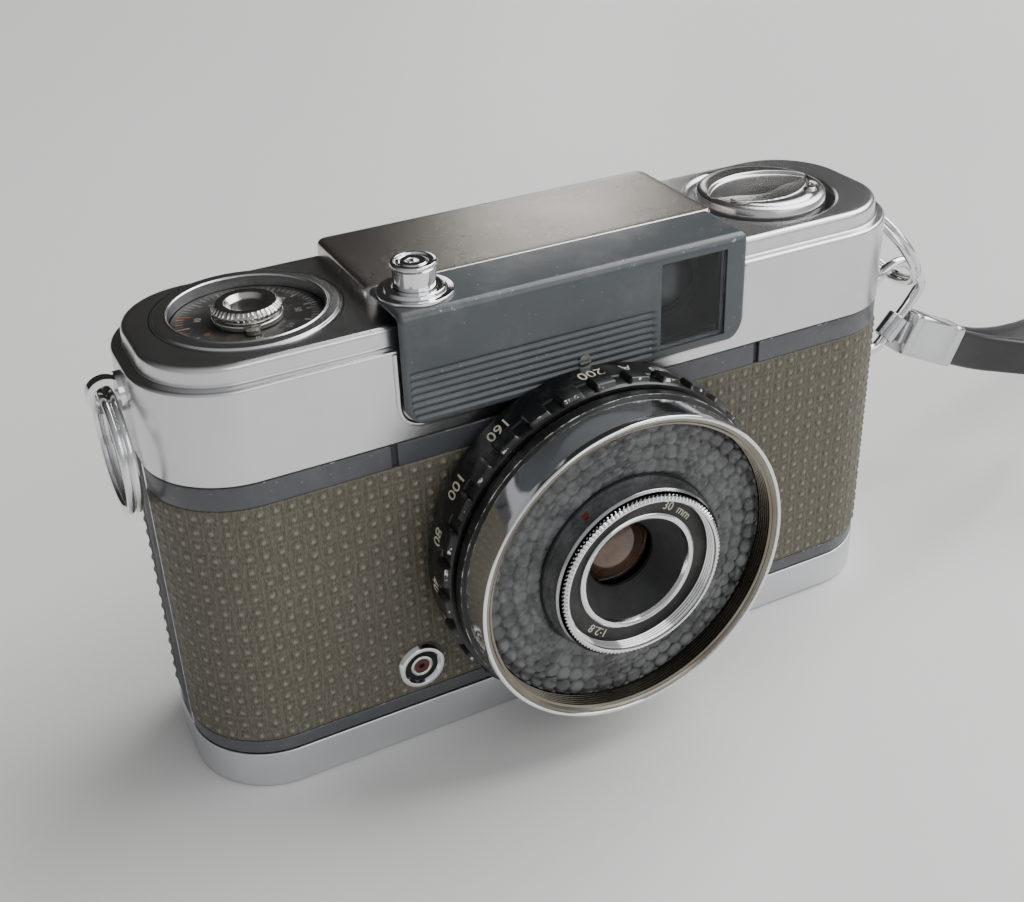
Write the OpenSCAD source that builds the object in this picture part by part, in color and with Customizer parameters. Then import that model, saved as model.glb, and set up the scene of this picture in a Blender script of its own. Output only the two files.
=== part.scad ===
/* [Body] */
// Width of the body without its strap lugs
body_w = 115; // [108:1:140]
// Depth of the body without lens and thumb wheel
body_d = 30; // [29:0.5:37]
// Plan radius of the body's four corners
corner_r = 12; // [8:0.5:13]
// Height of the bare metal base below the lower strip
base_h = 6.2; // [5.8:0.2:9]
// Height of the painted strip under the leatherette
lower_trim_h = 2.4; // [1.5:0.1:4]
// Height of the leatherette
leather_h = 37.8; // [37.8:0.1:50]
// Height of the painted strip over the leatherette
upper_trim_h = 3.6; // [2.5:0.1:6]
// Thickness of the leatherette skin
skin_t = 0.6; // [0.4:0.1:0.8]
// Wall of the front shell
shell_t = 1.4; // [1:0.1:1.5]
// Wall of the removable back
back_wall = 1.5; // [1.2:0.1:1.6]

/* [Top cover] */
// Wall of the top cover
cover_wall = 1; // [0.8:0.1:1.2]
// Height of the cover's side below its ledge
skirt_h = 13.1; // [13:0.1:18]
// Width of the ledge between side and raised top
ledge_w = 1.5; // [1:0.1:2]
// Height of the raised top over the ledge
step_h = 2.6; // [2:0.1:4]
// Width of the hump over the viewfinder
hump_w = 53.2; // [50:0.2:56]
// Height of the hump over the raised top
hump_rise = 2.4; // [1.8:0.1:4]
// Plate thickness of the painted fascia
fascia_t = 1.4; // [1:0.1:1.6]

/* [Viewfinder] */
// Width of the viewfinder window
window_w = 10.6; // [8:0.1:11]
// Height of the viewfinder window
window_h = 12.8; // [10:0.1:13]
// Centre of the window from the body's middle
window_x = 16.7; // [16:0.1:17]

/* [Lens] */
// Lens axis from the body's middle
lens_x = -1.2; // [-3:0.1:1]
// Lens axis above the base
lens_z = 30.6; // [30:0.1:34]
// Radius of the exposure ring over its grips
grip_r = 24.9; // [24.3:0.1:25.5]
// Radius of the front bezel
bezel_r = 23.3; // [22.8:0.1:23.8]
// Radius of the outer filter thread
outer_thread_r = 21.75; // [21:0.05:22]
// Radius of the inner filter thread
inner_thread_r = 11.25; // [11:0.05:11.5]
// Radius of the knurled focus ring
focus_r = 12.3; // [12.1:0.1:12.6]
// Radius of the front glass
front_glass_r = 5.2; // [4:0.1:5.4]

/* [Controls] */
// Centre of the rewind knob and film cartridge from the middle
knob_x = 39.5; // [38:0.5:40]
// Radius of the rewind knob
knob_r = 9.9; // [9:0.1:10.2]
// Centre of the frame counter from the middle
counter_x = -40.3; // [-42:0.1:-39]
// Radius of the hole over the counter dial
counter_r = 10; // [9:0.1:10.5]
// Radius of the thumb wheel that winds the film on
wheel_r = 13.2; // [12.8:0.1:13.6]
// Radius of the shutter button's head
button_r = 3.2; // [3:0.1:3.4]
// Height of the shutter button over the fascia
button_h = 4.4; // [3.6:0.1:5]
// Radius of the film cartridge chamber
chamber_r = 12.4; // [12:0.1:12.5]

/* [Rings and strap] */
// Middle radius of the split rings
ring_r = 8; // [7.5:0.1:8.5]
// Wire radius of the split rings
ring_wire_r = 0.55; // [0.45:0.05:0.6]
// Wire radius of the strap ring
loop_wire_r = 0.95; // [0.7:0.05:1]
// Width of the strap
strap_w = 6.5; // [5:0.1:7]
// Thickness of the strap
strap_t = 2.2; // [1.6:0.1:2.4]

/* [Hidden] */
$fn = 96;
eps = 0.01;
run = 0.3;          // clearance between moving curved faces
fit = 0.1;          // clearance between pieces of one body
trim_inset = 0.12;  // painted strips stand this far back from the leatherette

// Heights of the levels, from the base upwards
leather_z = base_h + lower_trim_h;
trim_z = leather_z + leather_h;
cover_z = trim_z + upper_trim_h;
ledge_z = cover_z + skirt_h;
top_z = ledge_z + step_h;
hump_z = top_z + hump_rise;
deck_z = cover_z + 0.5;

// Seams between the three painted strips over the leatherette
trim_seam_left = -28;
trim_seam_right = 29;

// Front, back and film planes
front_y = -body_d / 2;
back_y = body_d / 2;
split_y = -3;
film_y = back_y - 6.8;
frame_w = 18;
frame_h = 24;
plate_w = 30;

// Fascia
fascia_x0 = -hump_w / 2 + 0.2;
fascia_x1 = hump_w / 2 - 1.2;
fascia_z0 = cover_z + 2.4;
fascia_z1 = hump_z + 0.1;
fascia_back_y = front_y + 8.5;
fascia_side = 1.2;
fascia_top = 1.1;
fascia_corner = 3.2;
groove_count = 7;
groove_pitch = 1.02;
groove_depth = 0.35;
groove_x1 = 10.3;
screw_x = -0.5;
screw_z = fascia_z0 + 3.1;
screw_r = 0.9;

// Viewfinder
window_z = fascia_z0 + 7.7;
tube_wall = 0.6;
eyepiece_w = 8.4;
eyepiece_h = 6.4;
tube_z1 = fascia_z1 - fascia_top - cover_wall - fit;

// Shutter button
button_x = -21.6;
button_y = front_y + 4.6;
stem_r = 2.7;
collar_r = 5;
button_travel = 1.4;

// Counter
counter_y = 1;
counter_rim_r = counter_r + 1.9;
dial_z = top_z - 1.9;
dial_t = 0.7;
pointer_r = 4.6;
setter_r = 3.4;

// Rewind knob
knob_y = 0.2;
recess_r = knob_r + 1;
recess_z = top_z - 4.2;
knob_z1 = top_z + 1.3;
shaft_r = 1.4;
fork_r = 3;
crank_t = 1.4;
crank_gap = 0.2;
arm_r = knob_r - 1.6;
pin_x = -knob_r * 0.62;
pin_y = -knob_r * 0.36;
pin_z = knob_z1 - 0.8;
pin_r = 0.35;
pin_len = 4.6;
crank_pocket_r = 2.6;

// Wheel, sprocket and spool
wheel_x = -36;
wheel_y = back_y + 1.6 - wheel_r;
wheel_z = cover_z + 1.6;
wheel_t = 5;
wheel_teeth = 48;
spool_x = -42;
spool_y = 1;
spool_r = 6;
spool_room_r = 10.4;
sprocket_x = -23.5;
sprocket_y = film_y - 6.6;
sprocket_r = 5.4;
room_z0 = 5.4;
room_z1 = deck_z - 1.5;

// Chassis
chassis_inset = skin_t + shell_t + 0.4;
chassis_z = 3.4;

// Base furniture
key_x = -40;
key_r = 7.6;
release_x = 22;
release_y = 6;
release_r = 1.7;
thread_r = 3.175;
socket_r = 5.2;
socket_h = 5;

// Lens stack: distances forward of the body's front plane
flange_r = 18.6;
barrel_r = 14.6;
barrel_bore_r = 12.9;
d_ring0 = fascia_t + 0.35;
d_grip = d_ring0 + 2.8;
d_ring1 = 9;
d_collar = d_ring1 + 0.25;
d_bezel = 11;
d_cell = 12;
d_window = 13.1;
d_rim = 17;
d_knurl = 17.5;
d_focus = 18.2;
d_skirt = d_knurl - 0.2;
d_shutter = 2;
blade_pin_x = 8.6;
blade_pin_r = 0.5;
grip_count = 30;
knurl_count = 120;
knurl_cut = 0.35;
collar_bore_r = focus_r + 0.25;
skirt_r = collar_bore_r + 0.8;
sync_x = -27;
sync_z = leather_z + 4.7;
sync_r = 3.65;

// Strap lugs and rings
lug_z = ledge_z - 3.9;
lug_reach = 2.2;
eye_r = 2.4;
eye_hole_r = 1.5;
eye_t = 1.6;
right_swing = 32;

// Strap ring: its wire's middle line, measured from the right lug's eye in the plane through both
loop_at = [body_w / 2 + lug_reach, lug_z];
loop_points = [
    for (p = [[4.1, -13.7], [9.6, -11.3], [14.2, -15.6], [12.3, -19.5],
              [8.8, -23.2], [6, -26.15], [2.2, -25.6], [1.2, -19.7]])
        loop_at + p
];
bar_x = loop_at[0] + 8.9;
bar_z = loop_at[1] - 23.1;
bar_dir = [3.5, 0, 3.7] / norm([3.5, 0, 3.7]);
strap_dir = [0.9, 0, -0.436] / norm([0.9, 0, -0.436]);
clamp_w = strap_w + 1;
clamp_t = 2 * strap_t + 0.7;
clamp_start = 2.6;
clamp_end = 15.5;
barrel_wire_gap = 0.3;

// Strap: middle line of the band, out from the clamp, round its loop and back
strap_points = [
    [82.6, -1.3, 29.3], [88.5, -1.5, 26.8], [94.5, -2.3, 24.9],
    [101, -3.8, 23.2], [108, -6.2, 21.4], [116, -9.8, 19.2],
    [124, -13.8, 16.8], [132, -17.8, 14.4], [140, -21.2, 12.0],
    [148, -23.8, 9.8], [156, -25.4, 7.7], [164, -25.6, 5.9],
    [172, -23.8, 4.6], [179, -19.6, 3.9], [184, -13.2, 3.6],
    [187, -5.2, 3.5], [187, 3.6, 3.5], [184.4, 11.8, 3.6],
    [179.6, 18.6, 3.9], [172.6, 23.4, 4.6], [164.4, 25.6, 5.9],
    [156, 25.6, 7.7], [148, 24, 9.8], [140, 21.4, 12.0],
    [132, 18, 14.4], [124, 14, 16.8], [116, 10, 19.2],
    [108, 6.4, 21.4], [101, 4, 23.2], [94.5, 2.4, 24.9],
    [88.5, 1.6, 26.8], [82.6, 1.3, 29.3]
];

// ---- shared shapes ----

// The body's plan, drawn in by inset
module plan(inset = 0) {
    r = max(corner_r - inset, 0.5);
    w = body_w - 2 * inset;
    d = body_d - 2 * inset;
    square([w, d - 2 * r], center = true);
    square([w - 2 * r, d], center = true);
    for (sx = [-1, 1], sy = [-1, 1])
        translate([sx * (w / 2 - r), sy * (d / 2 - r)]) circle(r);
}

module plan_block(inset, z0, z1) {
    translate([0, 0, z0]) linear_extrude(z1 - z0) plan(inset);
}

// A wall that follows the plan between two insets
module plan_wall(outer, inner, z0, z1) {
    difference() {
        plan_block(outer, z0, z1);
        plan_block(inner, z0 - 1, z1 + 1);
    }
}

// Everything in front of, or behind, a plane across the body
module before(y) {
    translate([-body_w, y - 4 * body_d, -1]) cube([2 * body_w, 4 * body_d, 3 * hump_z]);
}

module behind(y) {
    translate([-body_w, y, -1]) cube([2 * body_w, 4 * body_d, 3 * hump_z]);
}

module box(x0, x1, y0, y1, z0, z1) {
    translate([x0, y0, z0]) cube([x1 - x0, y1 - y0, z1 - z0]);
}

module rod(x, y, z0, z1, r) {
    translate([x, y, z0]) cylinder(h = z1 - z0, r = r);
}

// Local z runs forward along the lens axis from the body's front plane
module lens_axis(x = lens_x, z = lens_z) {
    translate([x, front_y, z]) rotate([90, 0, 0]) children();
}

module washer(r0, r1, d0, d1) {
    translate([0, 0, d0]) difference() {
        cylinder(h = d1 - d0, r = r1);
        translate([0, 0, -1]) cylinder(h = d1 - d0 + 2, r = r0);
    }
}

// A rod across the body, from front to back
module y_rod(x, z, y0, y1, r) {
    translate([x, y1, z]) rotate([90, 0, 0]) cylinder(h = y1 - y0, r = r);
}

// ---- body ----

module chassis() {
    color("dimgray") difference() {
        union() {
            plan_block(chassis_inset, chassis_z, deck_z);
            rod(wheel_x, wheel_y, deck_z - 1, wheel_z + wheel_t + 0.4, shaft_r - 0.05);
        }
        box(lens_x - plate_w / 2 - 1, lens_x + plate_w / 2 + 1, film_y + 1.1, back_y, 0, room_z1);
        box(-body_w / 2 + 4.4, body_w / 2 - 4.4, film_y, back_y, room_z0, room_z1);
        box(-body_w, body_w, back_y - 4.2, back_y, 0, hump_z);
        rod(knob_x, knob_y, room_z0, room_z1, chamber_r);
        rod(spool_x, spool_y, room_z0, room_z1, spool_room_r);
        rod(sprocket_x, sprocket_y, room_z0, room_z1, sprocket_r + 1);
        for (p = [[knob_x, knob_y, fork_r], [spool_x, spool_y, shaft_r],
                  [sprocket_x, sprocket_y, shaft_r]])
            rod(p[0], p[1], chassis_z - 1, deck_z + 1, p[2] + run);
        box(spool_x, sprocket_x, spool_y, film_y + 1, room_z0, room_z1);
        y_rod(lens_x, lens_z, front_y, film_y - 1.6, barrel_r + fit);
        box(lens_x - frame_w / 2, lens_x + frame_w / 2, film_y - 3, film_y + 1,
            lens_z - frame_h / 2, lens_z + frame_h / 2);
        y_rod(sync_x, sync_z, front_y, front_y + 5, 2.3);
        rod(0, 0, 0, chassis_z + 3.2, socket_r + 1);
        rod(release_x, release_y, 0, chassis_z + 1.4, release_r + 0.5);
    }
}

module front_shell() {
    color("slategray") difference() {
        plan_wall(skin_t, skin_t + shell_t, base_h, cover_z);
        behind(split_y);
        y_rod(lens_x, lens_z, front_y - 1, 0, barrel_r + 2);
        y_rod(sync_x, sync_z, front_y - 1, 0, 2.3);
    }
}

module skin(z0, z1) {
    plan_wall(0, skin_t, z0, z1);
}

module front_leatherette() {
    color([0.44, 0.41, 0.36]) difference() {
        skin(leather_z, trim_z);
        behind(split_y);
        y_rod(lens_x, lens_z, front_y - 1, 0, flange_r + fit);
        y_rod(sync_x, sync_z, front_y - 1, 0, sync_r + fit);
    }
}

// Part of the painted strip above the leatherette, from x0 to x1
module upper_trim(x0, x1) {
    color("slategray") difference() {
        intersection() {
            plan_wall(trim_inset, skin_t, trim_z, cover_z);
            box(x0, x1, -body_d, split_y, 0, hump_z);
        }
        y_rod(lens_x, lens_z, front_y - 1, 0, flange_r + fit);
    }
}

module lower_trim() {
    color("slategray") difference() {
        plan_wall(trim_inset, skin_t, base_h, leather_z);
        behind(split_y);
    }
}

module upper_trim_left() upper_trim(-body_w, trim_seam_left - eps);
module upper_trim_middle() upper_trim(trim_seam_left, trim_seam_right);
module upper_trim_right() upper_trim(trim_seam_right + eps, body_w);

// ---- top cover ----

// Outer form of the cover, drawn in on every side
module cover_form(inset) {
    plan_block(inset, cover_z - (inset > 0 ? 1 : 0), ledge_z - inset);
    plan_block(ledge_w + inset, cover_z, top_z - inset);
    box(fascia_x0 + fascia_side + inset, fascia_x1 - fascia_side - inset,
        front_y + inset, fascia_back_y + 1, cover_z, fascia_z1 - fascia_top - inset);
    box(-hump_w / 2 + inset, hump_w / 2 - inset,
        fascia_back_y + inset, back_y - ledge_w - inset, cover_z, hump_z - inset);
}

module top_cover() {
    color("silver") {
        difference() {
            union() {
                cover_form(0);
                rod(counter_x, counter_y, top_z - 1, top_z + 0.5, counter_rim_r);
            }
            difference() {
                cover_form(cover_wall);
                rod(knob_x, knob_y, recess_z - cover_wall, top_z, recess_r + cover_wall);
                rod(counter_x, counter_y, dial_z - 0.8, top_z, counter_r + cover_wall);
            }
            rod(counter_x, counter_y, dial_z - fit, hump_z, counter_r);
            rod(counter_x, counter_y, cover_z, hump_z, shaft_r + run);
            rod(knob_x, knob_y, recess_z, hump_z + 1, recess_r);
            rod(knob_x, knob_y, cover_z, hump_z, fork_r + run);
            rod(button_x, button_y, cover_z, hump_z + 1, stem_r + run);
            box(window_x - window_w / 2 + 0.5, window_x + window_w / 2 - 0.5,
                front_y - 1, front_y + 2, window_z - window_h / 2 + 0.5,
                window_z + window_h / 2 - 0.9);
            box(window_x - eyepiece_w / 2, window_x + eyepiece_w / 2, 0, back_y + 1,
                window_z - eyepiece_h / 2, window_z + eyepiece_h / 2);
            rod(wheel_x, wheel_y, wheel_z - 0.5, wheel_z + wheel_t + 0.5, wheel_r + 0.5);
            y_rod(screw_x, screw_z, front_y - 1, front_y + 2, screw_r * 0.6 + fit);
        }
    }
}

// Front outline of the fascia, with its round lower corners
module fascia_outline() {
    w = fascia_x1 - fascia_x0;
    h = fascia_z1 - fascia_z0;
    translate([fascia_x0, fascia_z0 + fascia_corner]) square([w, h - fascia_corner]);
    translate([fascia_x0 + fascia_corner, fascia_z0]) square([w - 2 * fascia_corner, h]);
    for (x = [fascia_x0 + fascia_corner, fascia_x1 - fascia_corner])
        translate([x, fascia_z0 + fascia_corner]) circle(fascia_corner);
}

module fascia() {
    color([0.33, 0.36, 0.4]) difference() {
        union() {
            translate([0, front_y, 0]) rotate([90, 0, 0])
                linear_extrude(fascia_t) fascia_outline();
            box(fascia_x0, fascia_x1, front_y, fascia_back_y - eps, top_z + 0.05, fascia_z1);
            for (x = [fascia_x0, fascia_x1 - fascia_side])
                box(x, x + fascia_side, front_y, front_y + ledge_w - 0.05, ledge_z + 0.05,
                    top_z + 0.1);
        }
        box(fascia_x0 + fascia_side, fascia_x1 - fascia_side, front_y, body_d,
            cover_z, fascia_z1 - fascia_top);
        box(window_x - window_w / 2, window_x + window_w / 2, front_y - 5, front_y + 0.5,
            window_z - window_h / 2, window_z + window_h / 2);
        for (i = [0 : groove_count - 1])
            box(fascia_x0 + 0.8, groove_x1, front_y - fascia_t - 1,
                front_y - fascia_t + groove_depth,
                fascia_z0 + 1 + i * groove_pitch, fascia_z0 + 1.5 + i * groove_pitch);
        y_rod(screw_x, screw_z, front_y - 5, front_y + 1, screw_r + fit / 2);
        rod(button_x, button_y, cover_z, hump_z + 1, stem_r + run);
    }
}

module fascia_screw() {
    color("gainsboro") difference() {
        union() {
            y_rod(screw_x, screw_z, front_y - fascia_t - 0.15, front_y - 0.05, screw_r);
            y_rod(screw_x, screw_z, front_y - 0.1, front_y + 2.4, screw_r * 0.6);
        }
        box(screw_x - screw_r, screw_x + screw_r, front_y - 4, front_y - fascia_t + 0.15,
            screw_z - 0.15, screw_z + 0.15);
    }
}

module viewfinder_glass() {
    color("lightsteelblue") box(window_x - window_w / 2 + 0.05, window_x + window_w / 2 - 0.05,
        front_y - fascia_t + 0.35, front_y - 0.05,
        window_z - window_h / 2 + 0.05, window_z + window_h / 2 - 0.05);
}

// Dark tunnel behind the window, narrower towards the eyepiece
module viewfinder_tube() {
    front = front_y + cover_wall + 0.1;
    middle = front_y + 13;
    rear = back_y - ledge_w - cover_wall - 0.1;
    color([0.1, 0.1, 0.1]) difference() {
        union() {
            box(window_x - window_w / 2 - tube_wall, window_x + window_w / 2 + tube_wall,
                front, middle, window_z - window_h / 2, tube_z1);
            box(window_x - eyepiece_w / 2 - 1, window_x + eyepiece_w / 2 + 1,
                middle - 1, rear, window_z - eyepiece_h / 2 - 1, window_z + eyepiece_h / 2 + 1);
        }
        box(window_x - window_w / 2, window_x + window_w / 2, front - 1, middle - 1,
            window_z - window_h / 2 + tube_wall, tube_z1 - tube_wall);
        box(window_x - eyepiece_w / 2 + 0.4, window_x + eyepiece_w / 2 - 0.4, middle - 2, rear + 1,
            window_z - eyepiece_h / 2 + 0.4, window_z + eyepiece_h / 2 - 0.4);
    }
}

module viewfinder_eyepiece() {
    y0 = back_y - ledge_w - cover_wall - 0.05;
    color("black") difference() {
        union() {
            box(window_x - eyepiece_w / 2 + 0.05, window_x + eyepiece_w / 2 - 0.05, y0, back_y + 0.1,
                window_z - eyepiece_h / 2 + 0.05, window_z + eyepiece_h / 2 - 0.05);
            box(window_x - eyepiece_w / 2 - 0.8, window_x + eyepiece_w / 2 + 0.8,
                back_y + 0.05, back_y + 0.8,
                window_z - eyepiece_h / 2 - 0.8, window_z + eyepiece_h / 2 + 0.8);
        }
        box(window_x - eyepiece_w / 2 + 1, window_x + eyepiece_w / 2 - 1, back_y - 0.6, back_y + 2,
            window_z - eyepiece_h / 2 + 1, window_z + eyepiece_h / 2 - 1);
    }
}

// ---- counter, button, rewind ----

module counter_dial() {
    color([0.08, 0.08, 0.08]) translate([counter_x, counter_y, 0])
        washer(shaft_r + run, counter_r - 0.15, dial_z, dial_z + dial_t);
}

// Milled knob, disc and pointer tab in one turned piece
module counter_setter() {
    z0 = dial_z + dial_t + 0.15;
    color("silver") translate([counter_x, counter_y, 0]) {
        translate([0, 0, z0]) cylinder(h = 0.7, r = pointer_r);
        rotate(-100) translate([pointer_r - 1, -0.9, z0]) cube([2.2, 1.8, 0.7]);
        translate([0, 0, z0 + 0.6]) cylinder(h = top_z + 1.2 - z0 - 0.6, r = setter_r);
        translate([0, 0, wheel_z + wheel_t + 0.8])
            cylinder(h = z0 - wheel_z - wheel_t - 0.7, r = shaft_r);
    }
}

module button_collar() {
    color("silver") translate([button_x, button_y, 0]) {
        washer(stem_r + fit, collar_r, fascia_z1, fascia_z1 + 0.5);
        washer(stem_r + fit, collar_r - 1.1, fascia_z1 + 0.45, fascia_z1 + 1);
    }
}

module shutter_button() {
    z0 = fascia_z1 + 1 + button_travel + 0.3;
    z1 = fascia_z1 + button_h;
    color("silver") translate([button_x, button_y, 0]) difference() {
        union() {
            translate([0, 0, z1 - 1]) cylinder(h = 1, r = button_r);
            translate([0, 0, deck_z + 3]) cylinder(h = z1 - deck_z - 3.5, r = stem_r);
        }
        translate([0, 0, z1 - 0.5]) cylinder(h = 1, r = button_r - 0.9);
        translate([0, 0, z1 - 2.4]) cylinder(h = 2.4, r = 1);
    }
}

// Crescent along the front of the knob, grown by gap all round
module crescent(gap) {
    difference() {
        circle(arm_r + gap);
        translate([0, arm_r * 0.62]) circle(arm_r * 1.22 - gap);
    }
}

module rewind_knob() {
    color("silver") translate([knob_x, knob_y, 0]) difference() {
        union() {
            translate([0, 0, recess_z + 0.4]) cylinder(h = 1.5, r = knob_r);
            translate([0, 0, recess_z + 1.8]) cylinder(h = 0.5, r = knob_r - 0.5);
            translate([0, 0, recess_z + 2.2]) cylinder(h = knob_z1 - recess_z - 2.2, r = knob_r - 0.1);
        }
        translate([0, 0, knob_z1 - crank_t - 0.5]) linear_extrude(5)
            crescent(crank_gap);
        translate([pin_x, pin_y, knob_z1 - crank_t - 1]) cylinder(h = 5, r = crank_pocket_r);
        translate([0, 0, knob_z1 - 0.9]) linear_extrude(5) intersection() {
            translate([0, 5.4]) circle(arm_r + 2);
            translate([0, -4.6]) circle(arm_r + 2);
        }
        cylinder(h = hump_z, r = shaft_r + fit);
        y_rod(pin_x, pin_z, pin_y - pin_len / 2 - fit, pin_y + pin_len / 2 + fit, pin_r + 0.02);
    }
}

module crank_pin() {
    color("gray") translate([knob_x, knob_y, 0])
        y_rod(pin_x, pin_z, pin_y - pin_len / 2, pin_y + pin_len / 2, pin_r);
}

// Folding arm that lies along the knob's front, hinged at its left end
module rewind_crank() {
    color("silver") translate([knob_x, knob_y, 0]) difference() {
        union() {
            translate([0, 0, knob_z1 - crank_t]) linear_extrude(crank_t - 0.1) difference() {
                crescent(0);
                translate([-knob_r * 2 + pin_x + 0.6, -knob_r]) square([knob_r * 2, knob_r * 2]);
            }
            translate([pin_x, pin_y, knob_z1 - crank_t]) cylinder(h = crank_t - 0.1, r = 1.2);
            translate([arm_r * 0.6, -arm_r * 0.62, knob_z1 - 0.2]) cylinder(h = 0.8, r = 1);
        }
        y_rod(pin_x, pin_z, pin_y - pin_len, pin_y + pin_len, pin_r + 0.06);
    }
}

// Shaft and fork that lift and turn with the knob
module rewind_shaft() {
    color("gray") rod(knob_x, knob_y, deck_z + 0.8, knob_z1 - 1.4, shaft_r);
}

module rewind_fork() {
    color("gray") translate([knob_x, knob_y, 0]) difference() {
        union() {
            washer(shaft_r + fit, fork_r, deck_z + 0.6, recess_z + 0.35);
            translate([0, 0, room_z1 - 3.4]) cylinder(h = deck_z - room_z1 + 4.1, r = fork_r);
        }
        translate([-0.8, -5, room_z1 - 5]) cube([1.6, 10, 4]);
    }
}

// ---- film transport ----

module advance_wheel() {
    color("silver") translate([wheel_x, wheel_y, wheel_z]) difference() {
        cylinder(h = wheel_t, r = wheel_r);
        for (i = [0 : wheel_teeth - 1])
            rotate(i * 360 / wheel_teeth) translate([wheel_r + 0.25, 0, -1])
                cylinder(h = wheel_t + 2, r = 0.6, $fn = 16);
        translate([0, 0, -1]) cylinder(h = wheel_t + 2, r = shaft_r);
    }
}

module film_sprocket() {
    tooth = 0.8;
    color("silver") translate([sprocket_x, sprocket_y, 0]) {
        rod(0, 0, deck_z - 2.6, deck_z + 0.9, shaft_r);
        rod(0, 0, chassis_z + 0.2, room_z0 + 1, shaft_r);
        rod(0, 0, room_z0 + run, room_z1 - run, sprocket_r - 1.6);
        for (z = [lens_z - 17.2, lens_z + 14.8]) {
            rod(0, 0, z, z + 2.4, sprocket_r - tooth);
            for (i = [0 : 7])
                rotate(i * 45) translate([0, -0.5, z + 0.7]) cube([sprocket_r, 1, 1]);
        }
    }
}

module take_up_spool() {
    color([0.12, 0.12, 0.12]) translate([spool_x, spool_y, 0]) difference() {
        union() {
            rod(0, 0, deck_z - 2.6, deck_z + 0.9, shaft_r);
            rod(0, 0, chassis_z + 0.2, room_z0 + 1, shaft_r);
            rod(0, 0, room_z0 + run, room_z1 - run, spool_r);
            for (z = [room_z0 + run, room_z1 - run - 1.2])
                rod(0, 0, z, z + 1.2, spool_r + 3);
        }
        box(-spool_r - 1, spool_r + 1, -0.5, 0.5, room_z0 + 6, room_z1 - 6);
    }
}

// Polished rails round the picture opening
module film_gate() {
    half_w = frame_w / 2 + 3.4;
    half_h = 18;
    color("gray") difference() {
        union() {
            box(lens_x - half_w, lens_x + half_w, film_y + 0.02, film_y + 0.7,
                lens_z - half_h, lens_z + half_h - 0.6);
            for (z = [-half_h, -frame_h / 2 - 1.4, frame_h / 2 + 0.4, half_h - 1.6])
                box(lens_x - half_w, lens_x + half_w, film_y + 0.5, film_y + 1,
                    lens_z + z, lens_z + z + 1);
        }
        box(lens_x - frame_w / 2, lens_x + frame_w / 2, film_y - 1, film_y + 2,
            lens_z - frame_h / 2, lens_z + frame_h / 2);
    }
}

// ---- removable back and base ----

module back_cover() {
    color("silver") difference() {
        union() {
            plan_block(0, 0, base_h - 0.05);
            difference() {
                plan_wall(trim_inset, trim_inset + back_wall, base_h - 1, cover_z - 0.15);
                before(split_y + 0.15);
            }
        }
        plan_block(back_wall, 1.4, base_h);
        intersection() {
            plan_wall(0, skin_t + 0.03, leather_z - 0.05, trim_z + 0.05);
            behind(split_y + 8);
        }
        rod(0, 0, -1, 3, socket_r + 0.05);
        rod(key_x, 0, -1, 1.1, key_r + run);
        rod(key_x, 0, -1, 3, shaft_r + run / 2);
        rod(release_x, release_y, -1, 3, release_r + 0.15);
    }
}

module back_leatherette() {
    color([0.44, 0.41, 0.36]) intersection() {
        skin(leather_z, trim_z);
        behind(split_y + 8.05);
    }
}

module tripod_socket() {
    color("gray") difference() {
        union() {
            rod(0, 0, 0, 2.4, socket_r);
            rod(0, 0, 1.42, 2.4, socket_r + 0.7);
            rod(0, 0, 2.3, socket_h + 0.6, thread_r + 1.2);
        }
        rod(0, 0, -1, socket_h, thread_r);
    }
}

module pressure_plate() {
    color([0.15, 0.15, 0.15]) difference() {
        box(lens_x - plate_w / 2, lens_x + plate_w / 2, film_y + 1.5, film_y + 2.4,
            lens_z - 17, lens_z + 15.4);
        for (x = [-12, 12])
            y_rod(lens_x + x, lens_z, film_y, film_y + 4, 0.9);
    }
}

// Bowed leaf behind the pressure plate, held on the back's inner wall
module pressure_spring() {
    y0 = film_y + 3.4;
    y1 = back_y - trim_inset - back_wall - 0.02;
    color("silver") {
        box(lens_x - 3, lens_x + 3, y0, y0 + 0.4, lens_z - 9, lens_z + 9);
        for (s = [-1, 1]) {
            box(lens_x - 3, lens_x + 3, y0, y1, lens_z + s * 9.2 - 0.2, lens_z + s * 9.2 + 0.2);
            box(lens_x - 3, lens_x + 3, y1 - 0.4, y1, lens_z + s * 11 - 2, lens_z + s * 11 + 2);
        }
    }
}

// Round key with a raised grip bar across a sunk face
module lock_key() {
    color("silver") difference() {
        union() {
            rod(key_x, 0, 0.1, 0.95, key_r);
            rod(key_x, 0, 0.9, 1.75, shaft_r);
        }
        difference() {
            rod(key_x, 0, -1, 0.5, key_r - 0.9);
            box(key_x - key_r, key_x + key_r, -1.1, 1.1, -1, 1);
        }
    }
}

module lock_plate() {
    color("gray") difference() {
        union() {
            rod(key_x, 0, 1.75, 2.5, 3.2);
            box(key_x - 9, key_x + 9, -2, 2, 1.75, 2.5);
        }
        rod(key_x, 0, 1, 1.74, shaft_r);
    }
}

module rewind_release() {
    color("gray") {
        rod(release_x, release_y, 0.1, 1.9, release_r);
        rod(release_x, release_y, 1.7, 2.4, release_r + 0.4);
    }
}

// ---- lens ----

module lens_flange() {
    color([0.09, 0.09, 0.09]) lens_axis() washer(barrel_r + fit, flange_r, -skin_t, d_ring0 - 0.25);
}

module lens_barrel() {
    color("gray") lens_axis() {
        washer(barrel_bore_r, barrel_r, -12.5, d_bezel + 0.9);
        washer(4.7, barrel_bore_r + 0.2, -3.5, 1.8);
    }
}

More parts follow.
